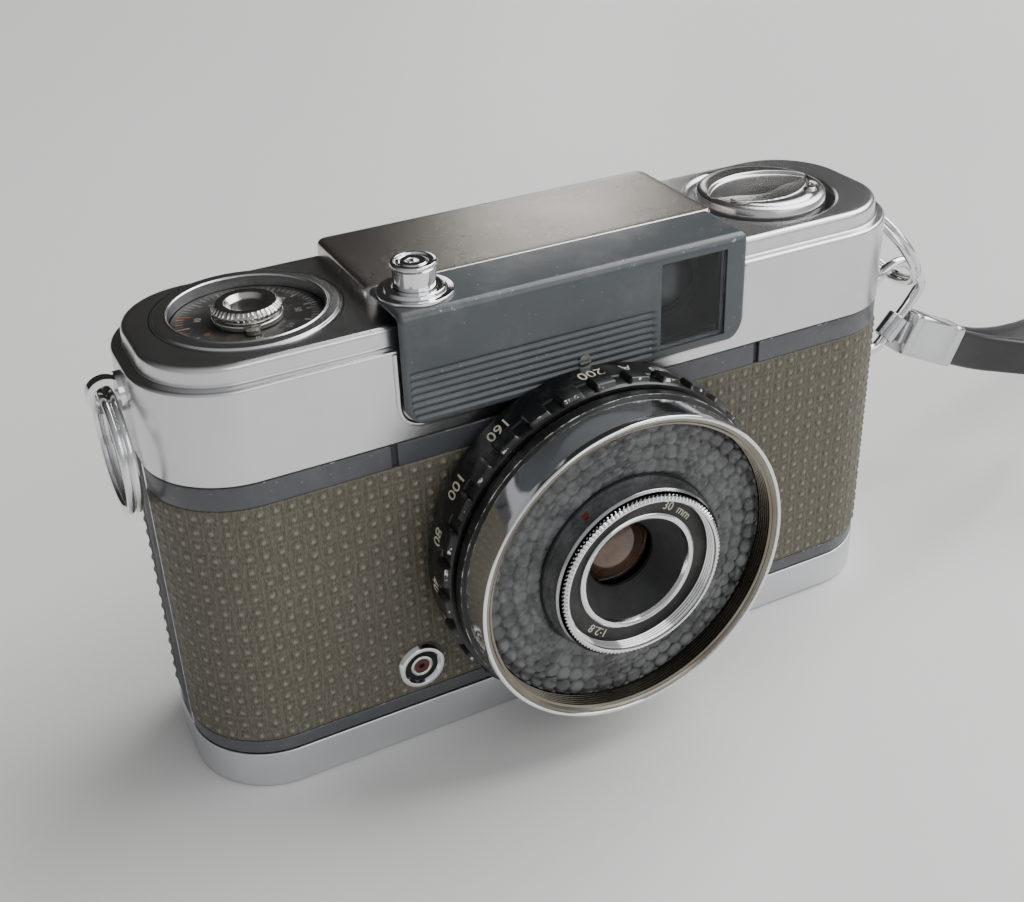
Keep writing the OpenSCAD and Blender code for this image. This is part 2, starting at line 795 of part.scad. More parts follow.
// Black ring with its numerals behind and its row of grips in front
module exposure_ring() {
    slot_w = 2.2;
    color([0.07, 0.07, 0.07]) lens_axis() difference() {
        union() {
            washer(barrel_r + run, grip_r - 0.7, d_ring0, d_ring1);
            washer(barrel_r + run, grip_r, d_grip, d_ring1 - 0.5);
        }
        for (i = [0 : grip_count - 1])
            rotate(i * 360 / grip_count) translate([grip_r - 0.7, -slot_w / 2, d_grip + 0.3])
                cube([3, slot_w, d_ring1 - d_grip]);
    }
}

module lens_collar() {
    color([0.07, 0.07, 0.07]) lens_axis() washer(barrel_r + fit, bezel_r + 0.3, d_collar, d_bezel - 0.02);
}

module front_bezel() {
    color("silver") lens_axis() difference() {
        washer(barrel_r + fit, bezel_r, d_bezel, d_rim);
        translate([0, 0, d_window]) cylinder(h = d_rim, r = outer_thread_r);
        translate([0, 0, d_cell - 0.1]) cylinder(h = d_rim, r = outer_thread_r - 0.3);
    }
}

module selenium_cell() {
    color([0.16, 0.15, 0.18]) lens_axis()
        washer(skirt_r + fit, outer_thread_r - 0.5, d_cell, d_window - 0.3);
}

// Clear ring over the light cell, with its rows of small lenses
module meter_window() {
    color([0.3, 0.3, 0.32]) lens_axis()
        washer(skirt_r + fit, outer_thread_r - 0.15, d_window + 0.02, d_window + 1);
}

// Smooth skirt between the clear ring and the knurled ring, with the focus mark
module inner_collar() {
    color("silver") lens_axis() rotate_extrude() polygon([
        [collar_bore_r, d_bezel + 1], [skirt_r, d_bezel + 1], [skirt_r, d_window + 1.1],
        [collar_bore_r + 0.25, d_skirt], [collar_bore_r, d_skirt]
    ]);
}

module focus_ring() {
    color("silver") lens_axis() difference() {
        union() {
            translate([0, 0, d_knurl]) cylinder(h = d_focus - d_knurl, r = focus_r);
            translate([0, 0, 9]) cylinder(h = d_knurl - 8.9, r = focus_r - 0.1);
        }
        for (i = [0 : knurl_count - 1])
            rotate(i * 360 / knurl_count) translate([focus_r - 0.22, 0, d_knurl + 0.1])
                rotate(-45) cube([knurl_cut, knurl_cut, d_focus]);
        translate([0, 0, 8]) cylinder(h = 20, r = 10.4);
        translate([0, 0, d_focus - 2.6]) cylinder(h = 20, r = inner_thread_r);
    }
}

module name_ring() {
    color([0.06, 0.06, 0.06]) lens_axis() {
        washer(8.8, inner_thread_r - fit, d_focus - 2.55, d_focus - 1.9);
        washer(8.8, 10.3, d_focus - 3.6, d_focus - 2.5);
    }
}

// Ribbed black well that narrows to the front glass, with its bright lip
module lens_cone() {
    steps = 9;
    d0 = 12.2;
    d1 = d_focus - 1.7;
    mouth_r = 8;
    foot_r = front_glass_r - 0.3;
    color([0.05, 0.05, 0.05]) lens_axis() difference() {
        union() {
            translate([0, 0, d0]) cylinder(h = d1 - d0, r = 8.7);
            translate([0, 0, 10]) cylinder(h = d1 - d0 - 1.9, r = 10.3);
        }
        for (i = [0 : steps])
            translate([0, 0, d0 + (d1 - d0) * i / (steps + 1)])
                cylinder(h = d1, r = foot_r + (mouth_r - foot_r) * i / steps);
        translate([0, 0, 9]) cylinder(h = 3.5, r = front_glass_r + 0.05);
    }
}

module front_element() {
    dome = 9;
    color([0.3, 0.2, 0.12]) lens_axis() intersection() {
        translate([0, 0, 10.1]) cylinder(h = 3, r = front_glass_r);
        translate([0, 0, 12.15 - dome]) sphere(dome);
    }
}

module rear_element() {
    color("lightblue") lens_axis() translate([0, 0, -3]) cylinder(h = 4, r = 4.65);
}

module shutter_housing() {
    color([0.1, 0.1, 0.1]) lens_axis() {
        difference() {
            translate([0, 0, d_shutter]) cylinder(h = 5.4, r = barrel_bore_r - fit);
            translate([0, 0, d_shutter + 1.4]) cylinder(h = 2.6, r = barrel_bore_r - 0.9);
            cylinder(h = 30, r = 4.4);
        }
        for (s = [-1, 1])
            translate([s * blade_pin_x, 4, d_shutter + 1]) cylinder(h = 3.4, r = blade_pin_r);
    }
}

// Half of the shutter, a thin plate that swings about its pin
module shutter_blade(side, d) {
    color([0.2, 0.2, 0.2]) lens_axis() translate([0, 0, d]) linear_extrude(0.25) difference() {
        union() {
            intersection() {
                circle(5.6);
                translate([side > 0 ? -0.6 : -7, -7]) square([7.6, 14]);
            }
            translate([side * blade_pin_x, 4]) circle(1.4);
            translate([side > 0 ? 4 : -blade_pin_x, 2.6]) square([blade_pin_x - 4, 2.8]);
        }
        translate([side * blade_pin_x, 4]) circle(blade_pin_r + 0.08);
    }
}

module shutter_blade_left() shutter_blade(-1, d_shutter + 1.9);
module shutter_blade_right() shutter_blade(1, d_shutter + 2.7);

module sync_ring() {
    color("silver") lens_axis(sync_x, sync_z) difference() {
        union() {
            translate([0, 0, -skin_t]) cylinder(h = skin_t + 0.9, r = sync_r);
            translate([0, 0, -4]) cylinder(h = 3.7, r = 2.2);
        }
        translate([0, 0, -0.2]) cylinder(h = 5, r = 2.5);
        translate([0, 0, -5]) cylinder(h = 5, r = 1.6);
    }
}

module sync_insulator() {
    color([0.4, 0.15, 0.1]) lens_axis(sync_x, sync_z) difference() {
        union() {
            translate([0, 0, -3.9]) cylinder(h = 3.8, r = 1.55);
            translate([0, 0, -1.15]) cylinder(h = 1.4, r = 1.5);
        }
        translate([0, 0, -1]) cylinder(h = 3, r = 0.5);
    }
}

// ---- lugs, rings and strap ----

module lug(side) {
    x = side * (body_w / 2 + lug_reach);
    color("silver") difference() {
        union() {
            y_rod(x, lug_z, -eye_t / 2, eye_t / 2, eye_r);
            translate([side * (body_w / 2 + 0.02), 0, lug_z]) rotate([0, side * 90, 0])
                cylinder(h = 0.8, r = 2.6);
        }
        y_rod(x, lug_z, -eye_t, eye_t, eye_hole_r);
        box(side > 0 ? 0 : -body_w / 2 - 0.02, side > 0 ? body_w / 2 + 0.02 : 0,
            -body_d, body_d, 0, hump_z);
    }
}

module lug_left() lug(-1);
module lug_right() lug(1);

// Two turns of wire side by side, hanging from the eye, swung outwards by an angle
module split_ring(side, swing) {
    color("silver") translate([side * (body_w / 2 + lug_reach), 0, lug_z])
        rotate([0, -side * swing, 0]) translate([0, 0, -ring_r]) rotate([0, 90, 0])
            for (s = [-1, 1]) translate([0, 0, s * ring_wire_r * 0.9])
                rotate_extrude() translate([ring_r, 0]) circle(ring_wire_r, $fn = 32);
}

module split_ring_left() split_ring(-1, 0);
module split_ring_right() split_ring(1, right_swing);

// Catmull-Rom point between p1 and p2 at t
function spline(p0, p1, p2, p3, t) =
    0.5 * (2 * p1 + (p2 - p0) * t + (2 * p0 - 5 * p1 + 4 * p2 - p3) * t * t
    + (3 * p1 - p0 - 3 * p2 + p3) * t * t * t);

function closed_path(p, n) = [
    for (i = [0 : len(p) - 1], k = [0 : n - 1])
        spline(p[(i + len(p) - 1) % len(p)], p[i], p[(i + 1) % len(p)], p[(i + 2) % len(p)], k / n)
];

function open_path(p, n) = concat([
    for (i = [0 : len(p) - 2], k = [0 : n - 1])
        spline(p[max(i - 1, 0)], p[i], p[i + 1], p[min(i + 2, len(p) - 1)], k / n)
], [p[len(p) - 1]]);

function unit(v) = v / norm(v);

// Side faces between successive rings of a sweep, each ring with m points
function side_faces(rings, m, closed) = [
    for (i = [0 : rings - (closed ? 1 : 2)], j = [0 : m - 1])
        let (a = i * m, b = ((i + 1) % rings) * m, k = (j + 1) % m)
        each [[a + j, b + j, b + k], [a + j, b + k, a + k]]
];

module strap_ring() {
    m = 8;
    path = closed_path(loop_points, 5);
    n = len(path);
    points = [
        for (i = [0 : n - 1])
            let (t = unit(path[(i + 1) % n] - path[(i + n - 1) % n]))
            for (j = [0 : m - 1])
                let (a = j * 360 / m)
                [path[i][0] - t[1] * loop_wire_r * cos(a), loop_wire_r * sin(a),
                 path[i][1] + t[0] * loop_wire_r * cos(a)]
    ];
    color("silver") polyhedron(points, side_faces(n, m, true), convexity = 6);
}

// Turns local x to a direction in the plane through both lugs
module along(v, at) {
    translate(at) rotate([0, -atan2(v[2], v[0]), 0]) children();
}

module strap_clamp() {
    mount_r = loop_wire_r + barrel_wire_gap;
    at = [bar_x, 0, bar_z];
    color("silver") difference() {
        union() {
            along(strap_dir, at) translate([clamp_start, -clamp_t / 2, -clamp_w / 2])
                cube([clamp_end - clamp_start, clamp_t, clamp_w]);
            along(strap_dir, at) translate([0, -mount_r - 0.6, -2])
                cube([clamp_start + 0.1, 2 * mount_r + 1.2, 4]);
            along(bar_dir, at) translate([-2.2, 0, 0]) rotate([0, 90, 0])
                cylinder(h = 4.4, r = mount_r + 0.6);
        }
        along(bar_dir, at) translate([-7, 0, 0]) rotate([0, 90, 0]) cylinder(h = 14, r = mount_r);
    }
}

// Flat band standing on edge
module wrist_strap() {
    path = open_path(strap_points, 2);
    n = len(path);
    section = [
        [1, 0.8], [0.6, 1], [-0.6, 1], [-1, 0.8], [-1, -0.8], [-0.6, -1], [0.6, -1], [1, -0.8]
    ];
    m = len(section);
    points = [
        for (i = [0 : n - 1])
            let (
                t = i == 0 ? strap_dir : i == n - 1 ? -strap_dir : unit(path[i + 1] - path[i - 1]),
                side = unit([-t[1], t[0], 0]),
                up = cross(t, side)
            )
            for (s = section)
                path[i] + side * s[0] * strap_t / 2 + up * s[1] * strap_w / 2
    ];
    caps = [[for (j = [0 : m - 1]) j], [for (j = [m - 1 : -1 : 0]) (n - 1) * m + j]];
    color([0.12, 0.12, 0.12])
        polyhedron(points, concat(side_faces(n, m, false), caps), convexity = 6);
}

chassis();
front_shell();
front_leatherette();
upper_trim_left();
upper_trim_middle();
upper_trim_right();
lower_trim();
top_cover();
fascia();
fascia_screw();
viewfinder_glass();
viewfinder_tube();
viewfinder_eyepiece();
counter_dial();
counter_setter();
button_collar();
shutter_button();
rewind_shaft();
rewind_knob();
rewind_fork();
rewind_crank();
crank_pin();
advance_wheel();
film_sprocket();
take_up_spool();
film_gate();
back_cover();
back_leatherette();
tripod_socket();
pressure_plate();
pressure_spring();
lock_key();
lock_plate();
rewind_release();
lens_flange();
lens_barrel();
exposure_ring();
lens_collar();
front_bezel();
meter_window();
selenium_cell();
inner_collar();
focus_ring();
name_ring();
lens_cone();
front_element();
rear_element();
shutter_housing();
shutter_blade_left();
shutter_blade_right();
sync_ring();
sync_insulator();
lug_left();
lug_right();
split_ring_left();
split_ring_right();
strap_ring();
strap_clamp();
wrist_strap();
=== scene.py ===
"""Half frame camera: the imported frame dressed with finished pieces, on a pale table by a window.

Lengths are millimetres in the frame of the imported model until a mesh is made. The lens looks
along -Y, +Z is up, and +X points towards the rewind knob.
"""

import math

import bmesh
import bpy
import numpy as np
from mathutils import Matrix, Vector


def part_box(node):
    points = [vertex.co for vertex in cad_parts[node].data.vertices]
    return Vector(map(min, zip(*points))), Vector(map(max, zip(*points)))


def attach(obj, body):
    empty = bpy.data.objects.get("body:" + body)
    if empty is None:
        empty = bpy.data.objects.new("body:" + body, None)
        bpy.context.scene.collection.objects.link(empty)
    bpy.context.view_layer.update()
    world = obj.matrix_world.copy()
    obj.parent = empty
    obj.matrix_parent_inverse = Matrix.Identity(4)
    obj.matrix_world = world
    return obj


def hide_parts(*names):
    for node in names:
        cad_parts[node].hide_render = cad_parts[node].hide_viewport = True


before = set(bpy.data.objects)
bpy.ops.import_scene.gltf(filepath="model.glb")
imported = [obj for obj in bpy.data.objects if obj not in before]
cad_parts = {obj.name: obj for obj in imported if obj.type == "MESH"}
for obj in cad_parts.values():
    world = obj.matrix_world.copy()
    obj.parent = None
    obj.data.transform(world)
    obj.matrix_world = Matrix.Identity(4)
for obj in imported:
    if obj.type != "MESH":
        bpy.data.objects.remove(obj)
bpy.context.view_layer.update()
MM = 0.001


# ---- sizes read from the frame ----


def low(node, axis):
    """Lowest coordinate of a node at rest, in millimetres."""
    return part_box(node)[0][axis] / MM


def high(node, axis):
    """Highest coordinate of a node at rest, in millimetres."""
    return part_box(node)[1][axis] / MM


def middle(node, axis):
    """Middle of a node at rest, in millimetres."""
    return (low(node, axis) + high(node, axis)) / 2


def centre(node, first, second):
    """Middle of a node along two axes."""
    return middle(node, first), middle(node, second)


HALF_W = high("front_leatherette", 0)
FRONT = low("front_leatherette", 1)
BACK = high("back_leatherette", 1)
CORNER = 12.0
STRIP_Z = low("lower_trim", 2)
SKIN_Z0 = low("front_leatherette", 2)
SKIN_Z1 = high("front_leatherette", 2)
COVER_Z = high("upper_trim_left", 2)
LEDGE_Z = COVER_Z + 13.1
TOP_Z = LEDGE_Z + 2.6
HUMP_Z = high("top_cover", 2)
LEDGE_W = 1.5
SKIN_T = 0.6
SEAM_Y = high("front_leatherette", 1) + 0.35
LENS = centre("front_bezel", 0, 2)
SYNC = centre("sync_ring", 0, 2)
COUNTER = centre("counter_dial", 0, 1)
SETTER_R = high("counter_setter", 0) - COUNTER[0] - 0.1
KNOB = centre("rewind_knob", 0, 1)
RECESS_Z = TOP_Z - 4.2
HUMP_HALF = 26.6
FASCIA_BACK = FRONT + 8.5
STUD_PITCH = 2.1
STUD_HEIGHT = 0.22


# ---- mesh making ----


def grid_faces(rows, columns, wrap_rows, wrap_columns):
    """Quads between the neighbours of a grid of points, counted row by row."""
    i = np.arange(rows if wrap_rows else rows - 1)
    j = np.arange(columns if wrap_columns else columns - 1)
    i, j = np.meshgrid(i, j, indexing="ij")
    i1, j1 = (i + 1) % rows, (j + 1) % columns
    corners = [i * columns + j, i1 * columns + j, i1 * columns + j1, i * columns + j1]
    return np.stack(corners, -1).reshape(-1, 4)


def patch(points, wrap=(False, False), wear_and_shade=None, uv=None, keep=None, caps=()):
    """One grid of points (rows, columns, 3) with its quads. The wear argument is how rubbed each point is,
    and on the leatherette and the clear ring it also sets where painted shade falls; uv its place on
    the material in millimetres, keep the quads that stay, caps rows that get one flat face."""
    rows, columns = points.shape[:2]
    faces = grid_faces(rows, columns, *wrap)
    if keep is not None:
        faces = faces[keep(points.reshape(-1, 3)[faces].mean(axis=1))]
    faces = faces.tolist()
    for row in caps:
        faces.append((row % rows * columns + np.arange(columns)).tolist())
    count = rows * columns
    wear_and_shade = np.zeros(count) if wear_and_shade is None else np.broadcast_to(wear_and_shade, (rows, columns)).ravel()
    uv = points.reshape(-1, 3)[:, [0, 2]] if uv is None else uv.reshape(-1, 2)
    return points.reshape(-1, 3), faces, wear_and_shade, uv


def piece(name, patches, material, body, nodes=(), slot=None, closed=True, crease=38):
    """Joins patches into one mesh that rides on a body and stands for the named nodes."""
    start, points, faces = 0, [], []
    for part in patches:
        points.append(part[0])
        faces += [[start + k for k in face] for face in part[1]]
        start += len(part[0])
    mesh = bpy.data.meshes.new(name)
    mesh.from_pydata((np.concatenate(points) * MM).tolist(), [], faces)
    # The wear attribute holds rubbing, and on the leatherette and the clear ring also painted shade.
    mesh.attributes.new("wear_and_shade", "FLOAT", "POINT").data.foreach_set(
        "value", np.concatenate([part[2] for part in patches]).astype(np.float32)
    )
    uv = np.concatenate([part[3] for part in patches])
    corner = np.empty(len(mesh.loops), dtype=np.int32)
    mesh.loops.foreach_get("vertex_index", corner)
    mesh.uv_layers.new(name="Lay").data.foreach_set("uv", uv[corner].astype(np.float32).ravel())
    work = bmesh.new()
    work.from_mesh(mesh)
    bmesh.ops.remove_doubles(work, verts=work.verts, dist=1e-7)
    if closed:
        bmesh.ops.recalc_face_normals(work, faces=work.faces)
    work.to_mesh(mesh)
    work.free()
    mesh.shade_smooth()
    mesh.set_sharp_from_angle(angle=math.radians(crease))
    return place(name, mesh, material, body, nodes, slot)


def place(name, mesh, material, body, nodes=(), slot=None):
    """Puts a mesh into the scene on its body, with its material."""
    thing = bpy.data.objects.new(name, mesh)
    bpy.context.scene.collection.objects.link(thing)
    mesh.materials.clear()
    mesh.materials.append(material)
    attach(thing, body)
    if nodes:
        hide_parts(*nodes)
    return thing


def soften(corners, steps=4, closed=True):
    """An outline with rounded corners. Each corner is (a, b, radius): the arc is the quadratic curve
    through the two points where a circle of that radius leaves the sides. Returns points and wear."""
    corners = [tuple(c) if len(c) == 3 else (*c, 0) for c in corners]
    count = len(corners)
    points, wear_and_shade = [], []
    for k, (a, b, radius) in enumerate(corners):
        here = np.array([a, b], float)
        if radius == 0 or (not closed and k in (0, count - 1)):
            points.append(here)
            wear_and_shade.append(0.0)
            continue
        before = np.array(corners[k - 1][:2]) - here
        after = np.array(corners[(k + 1) % count][:2]) - here
        before_len, after_len = np.linalg.norm(before), np.linalg.norm(after)
        before, after = before / before_len, after / after_len
        opening = math.acos(float(np.clip(before @ after, -1, 1)))
        reach = min(radius / math.tan(opening / 2), 0.48 * before_len, 0.48 * after_len)
        p0, p2 = here + before * reach, here + after * reach
        t = np.linspace(0, 1, steps + 1)[:, None]
        points += list((1 - t) ** 2 * p0 + 2 * t * (1 - t) * here + t**2 * p2)
        wear_and_shade += list(np.sin(np.linspace(0.15, math.pi - 0.15, steps + 1)))
    return np.array(points), np.array(wear_and_shade)


def turned(outline, axis, at, count=128, closed=True, steps=4, ripple=None):
    """A profile of (radius, distance along the axis) carried once round that axis: x, z =
    r cos t, r sin t for a lens ring, x, y for an upright one. ripple(angle, r, d) changes the radius."""
    profile, wear_and_shade = soften(outline, steps, closed)
    angle = np.arange(count) * 2 * math.pi / count
    t, r = np.meshgrid(angle, profile[:, 0], indexing="ij")
    d = np.broadcast_to(profile[:, 1], r.shape)
    if ripple is not None:
        r = ripple(t, r, d)
    points = around(axis, at, t, r, d)
    return patch(points, (True, closed), wear_and_shade=np.broadcast_to(wear_and_shade, r.shape),
                 uv=np.stack([t * 10, d], -1))


def around(axis, at, t, r, d):
    """Points at angle t and radius r from an axis, d along it: forward for the lens, up otherwise."""
    if axis == "lens":
        return np.stack([at[0] + r * np.cos(t), FRONT - d, at[1] + r * np.sin(t)], -1)
    return np.stack([at[0] + r * np.cos(t), at[1] + r * np.sin(t), d], -1)


def walk(corners, radius, step, arc_steps, closed=False):
    """A path round the outside of some corner centres (x, y, first angle, last angle): arcs of the
    radius joined by straights. Returns centres, outward directions and the length along the path."""
    centres, angles = [], []
    for k, (x, y, first, last) in enumerate(corners):
        centres.append(np.tile([x, y], (arc_steps + 1, 1)))
        angles.append(np.radians(np.linspace(first, last, arc_steps + 1)))
        if closed or k < len(corners) - 1:
            there = np.array(corners[(k + 1) % len(corners)][:2], float)
            length = np.linalg.norm(there - (x, y))
            share = np.linspace(0, 1, max(int(length / step), 1) + 1)[1:-1, None]
            centres.append(np.array([x, y]) + share * (there - (x, y)))
            angles.append(np.full(len(share), math.radians(last)))
    centres, angles = np.concatenate(centres), np.concatenate(angles)
    outward = np.stack([np.cos(angles), np.sin(angles)], -1)
    line = centres + radius * outward
    length = np.concatenate([[0], np.cumsum(np.linalg.norm(np.diff(line, axis=0), axis=1))])
    return centres, outward, length


def body_corners(which):
    """The body's corner centres in the order of a walk: front half, back half or all round."""
    x, y = HALF_W - CORNER, BACK - CORNER
    front = [(-x, -y, 180, 270), (x, -y, 270, 360)]
    back = [(x, y, 0, 90), (-x, y, 90, 180)]
    return {"front": front, "back": back, "all": front + back}[which]


def carried(path, radius, profile):
    """A profile of (inset, height) carried along a path: centre + direction * (radius - inset)."""
    centres, outward, _ = path
    inset, z = profile[:, 0], profile[:, 1]
    flat = centres[:, None, :] + outward[:, None, :] * (radius - inset)[None, :, None]
    height = np.broadcast_to(z, flat.shape[:2])
    return np.concatenate([flat, height[..., None]], -1)


def band(which, outline, step=1.5, arc_steps=40, steps=4, keep=None):
    """A closed profile carried round the body, with flat ends where the walk is open."""
    whole = which == "all"
    path = walk(body_corners(which), CORNER, step, arc_steps, whole)
    profile, wear_and_shade = soften(outline, steps)
    points = carried(path, CORNER, profile)
    uv = np.stack(np.broadcast_arrays(path[2][:, None], profile[None, :, 1]), -1)
    return patch(points, (whole, True), wear_and_shade=np.broadcast_to(wear_and_shade, points.shape[:2]), uv=uv, keep=keep,
                 caps=() if whole else (0, -1))


def flat_plate(name, rings, z, thickness):
    """A flat plate with holes: closed outlines filled as one flat curve. Returns its mesh."""
    curve = bpy.data.curves.new(name, "CURVE")
    curve.dimensions = "2D"
    curve.fill_mode = "BOTH"
    curve.extrude = thickness / 2 * MM
    for ring in rings:
        spline = curve.splines.new("POLY")
        spline.points.add(len(ring) - 1)
        place4 = np.zeros((len(ring), 4))
        place4[:, :2] = np.array(ring) * MM
        place4[:, 3] = 1
        spline.points.foreach_set("co", place4.ravel())
        spline.use_cyclic_u = True
    return made_mesh(name, curve, lambda p: p + np.array([0, 0, (z - thickness / 2) * MM]))


def made_mesh(name, data, move):
    """The mesh of a curve or a text, with its points moved by a function."""
    source = bpy.data.objects.new(name + "_source", data)
    bpy.context.scene.collection.objects.link(source)
    bpy.context.view_layer.update()
    mesh = bpy.data.meshes.new_from_object(source.evaluated_get(bpy.context.evaluated_depsgraph_get()))
    bpy.data.objects.remove(source)
    points = np.empty(len(mesh.vertices) * 3)
    mesh.vertices.foreach_get("co", points)
    mesh.vertices.foreach_set("co", np.asarray(move(points.reshape(-1, 3))).ravel())
    mesh.update()
    mesh.name = name
    return mesh


def circle(x, y, r, count=96):
    """Points x + r cos t, y + r sin t at even angles t."""
    t = np.arange(count) * 2 * math.pi / count
    return np.stack([x + r * np.cos(t), y + r * np.sin(t)], -1)


def lettering(name, words, height, bend, material, body, depth=0.03):
    """Words of raised paint, centred at the origin and then bent into place by a function."""
    text = bpy.data.curves.new(name, "FONT")
    text.body = words
    text.size = height * MM
    text.align_x = "CENTER"
    text.align_y = "CENTER"
    text.extrude = depth * MM
    text.resolution_u = 3
    return place(name, made_mesh(name, text, lambda p: bend(p / MM) * MM), material, body)


# ---- finishes ----


class Finish:
    """A material built round one Principled shader."""

    def __init__(self, name, **sockets):
        self.material = bpy.data.materials.new(name)
        self.material.use_nodes = True
        self.tree = self.material.node_tree
        self.shader = self.tree.nodes["Principled BSDF"]
        for key, value in sockets.items():
            self.shader.inputs[key.replace("_", " ")].default_value = value

    def add(self, kind, inputs=None, **settings):
        """A node with its settings, and its inputs set to values or joined to other sockets."""
        return add_node(self.tree, kind, inputs, **settings)

    def feed(self, socket, output):
        """Joins an output to a socket of the shader."""
        self.tree.links.new(output, self.shader.inputs[socket])


def add_node(tree, kind, inputs=None, **settings):
    """A node in a tree, with its settings and its inputs set or joined."""
    node = tree.nodes.new(kind)
    for key, value in settings.items():
        setattr(node, key, value)
    for key, value in (inputs or {}).items():
        if isinstance(value, bpy.types.NodeSocket):
            tree.links.new(value, node.inputs[key])
        else:
            node.inputs[key].default_value = value
    return node


def effect(name, inputs, outputs, build):
    """A shader node group: inputs are (name, kind, value), and build returns its output sockets."""
    group = bpy.data.node_groups.new(name, "ShaderNodeTree")
    for label, kind, value in inputs:
        socket = group.interface.new_socket(label, in_out="INPUT", socket_type=kind)
        socket.default_value = value
    for label, kind in outputs:
        group.interface.new_socket(label, in_out="OUTPUT", socket_type=kind)
    entry = group.nodes.new("NodeGroupInput")
    leave = group.nodes.new("NodeGroupOutput")
    for label, socket in build(group, entry.outputs).items():
        group.links.new(socket, leave.inputs[label])
    return group


FLOAT, VECTOR = "NodeSocketFloat", "NodeSocketVector"


def build_mottle(group, given):
    """Soft cloudy variation between 0 and 1 in the piece's own space."""
    place_in = add_node(group, "ShaderNodeTexCoord").outputs["Object"]
    noise = add_node(group, "ShaderNodeTexNoise", {
        "Vector": place_in, "Scale": given["Scale"], "Detail": 4.0, "Roughness": 0.6})
    spread = add_node(group, "ShaderNodeMapRange", {
        "Value": noise.outputs["Fac"], "From Min": given["Low"], "From Max": given["High"]},
        interpolation_type="SMOOTHSTEP")
    return {"Mask": spread.outputs["Result"]}


MOTTLE = effect("Mottle", [("Scale", FLOAT, 100), ("Low", FLOAT, 0.35), ("High", FLOAT, 0.65)],
                [("Mask", FLOAT)], build_mottle)


def build_rub(group, given):
    """Wear along edges: the rubbed value of the piece, broken up by noise."""
    place_in = add_node(group, "ShaderNodeTexCoord").outputs["Object"]
    rubbed = add_node(group, "ShaderNodeAttribute", attribute_name="wear_and_shade")
    noise = add_node(group, "ShaderNodeTexNoise", {
        "Vector": place_in, "Scale": given["Scale"], "Detail": 5.0, "Roughness": 0.65})
    both = add_node(group, "ShaderNodeMath", {0: rubbed.outputs["Fac"], 1: noise.outputs["Fac"]},
                    operation="MULTIPLY")
    cut = add_node(group, "ShaderNodeMapRange", {
        "Value": both.outputs[0], "From Min": given["Start"], "From Max": given["Full"]})
    return {"Mask": cut.outputs["Result"]}


RUB = effect("Edge rub", [("Scale", FLOAT, 300), ("Start", FLOAT, 0.5), ("Full", FLOAT, 0.6)],
             [("Mask", FLOAT)], build_rub)


def build_grain(group, given):
    """Fine grain as a normal, from noise finer than a tenth of a millimetre to a few of them."""
    place_in = add_node(group, "ShaderNodeTexCoord").outputs["Object"]
    noise = add_node(group, "ShaderNodeTexNoise", {
        "Vector": place_in, "Scale": given["Scale"], "Detail": 3.0})
    bump = add_node(group, "ShaderNodeBump", {
        "Height": noise.outputs["Fac"], "Strength": given["Strength"], "Distance": 0.0002})
    return {"Normal": bump.outputs["Normal"]}


GRAIN = effect("Fine grain", [("Scale", FLOAT, 4000), ("Strength", FLOAT, 0.1)],
               [("Normal", VECTOR)], build_grain)


def build_dust(group, given):
    """Pale specks and a thin film, thicker on faces that look up."""
    place_in = add_node(group, "ShaderNodeTexCoord").outputs["Object"]
    facing = add_node(group, "ShaderNodeNewGeometry").outputs["Normal"]
    up = add_node(group, "ShaderNodeSeparateXYZ", {"Vector": facing}).outputs["Z"]
    lying = add_node(group, "ShaderNodeMapRange", {
        "Value": up, "From Min": -0.3, "From Max": 1.0, "To Min": 0.35}).outputs["Result"]
    specks = add_node(group, "ShaderNodeTexVoronoi", {
        "Vector": place_in, "Scale": given["Scale"], "Randomness": 1.0})
    dots = add_node(group, "ShaderNodeMapRange", {
        "Value": specks.outputs["Distance"], "From Min": given["Size"], "From Max": 0.02})
    film = add_node(group, "ShaderNodeTexNoise", {
        "Vector": place_in, "Scale": 140.0, "Detail": 6.0, "Roughness": 0.7})
    thin = add_node(group, "ShaderNodeMapRange", {
        "Value": film.outputs["Fac"], "From Min": 0.5, "From Max": 0.85, "To Max": 0.35})
    most = add_node(group, "ShaderNodeMath", {0: dots.outputs["Result"], 1: thin.outputs["Result"]},
                    operation="MAXIMUM")
    amount = add_node(group, "ShaderNodeMath", {0: most.outputs[0], 1: lying}, operation="MULTIPLY")
    scaled = add_node(group, "ShaderNodeMath", {0: amount.outputs[0], 1: given["Amount"]},
                      operation="MULTIPLY")
    return {"Mask": scaled.outputs[0]}


DUST = effect("Dust", [("Scale", FLOAT, 700), ("Size", FLOAT, 0.09), ("Amount", FLOAT, 0.6)],
              [("Mask", FLOAT)], build_dust)


def use(finish, group, **values):
    """Places an effect in a finish with its own values. Returns its outputs."""
    node = finish.add("ShaderNodeGroup", node_tree=group)
    for key, value in values.items():
        node.inputs[key].default_value = value
    return node.outputs


def blend_colours(finish, mask, under, over):
    """One colour or socket over another, by a mask."""
    return finish.add("ShaderNodeMix", {"Factor": mask, 6: under, 7: over},
                      data_type="RGBA").outputs[2]


def rise(finish, mask, bottom, top):
    """A value between two numbers, by a mask."""
    return finish.add("ShaderNodeMapRange", {
        "Value": mask, "To Min": bottom, "To Max": top}).outputs["Result"]


def metal(name, colour, dark, rough, grain, dirt=0.25, brush=None):
    """Bare or plated metal: cloudy tone, fine grain, and a little dirt that dulls it."""
    f = Finish(name, Metallic=1.0)
    cloud = use(f, MOTTLE, Scale=70, Low=0.1, High=0.9)["Mask"]
    smear = use(f, MOTTLE, Scale=420, Low=0.52, High=0.85)["Mask"]
    dust = use(f, DUST, Scale=800, Amount=dirt)["Mask"]
    tone = blend_colours(f, cloud, (*colour, 1), (*dark, 1))
    f.feed("Base Color", blend_colours(f, dust, tone, (0.42, 0.40, 0.36, 1)))
    uneven = f.add("ShaderNodeMath", {0: smear, 1: cloud}, operation="MAXIMUM").outputs[0]
    f.feed("Roughness", rise(f, uneven, rough, rough + 0.06))
    f.feed("Normal", use(f, GRAIN, Scale=brush or 5200, Strength=grain)["Normal"])
    return f.material


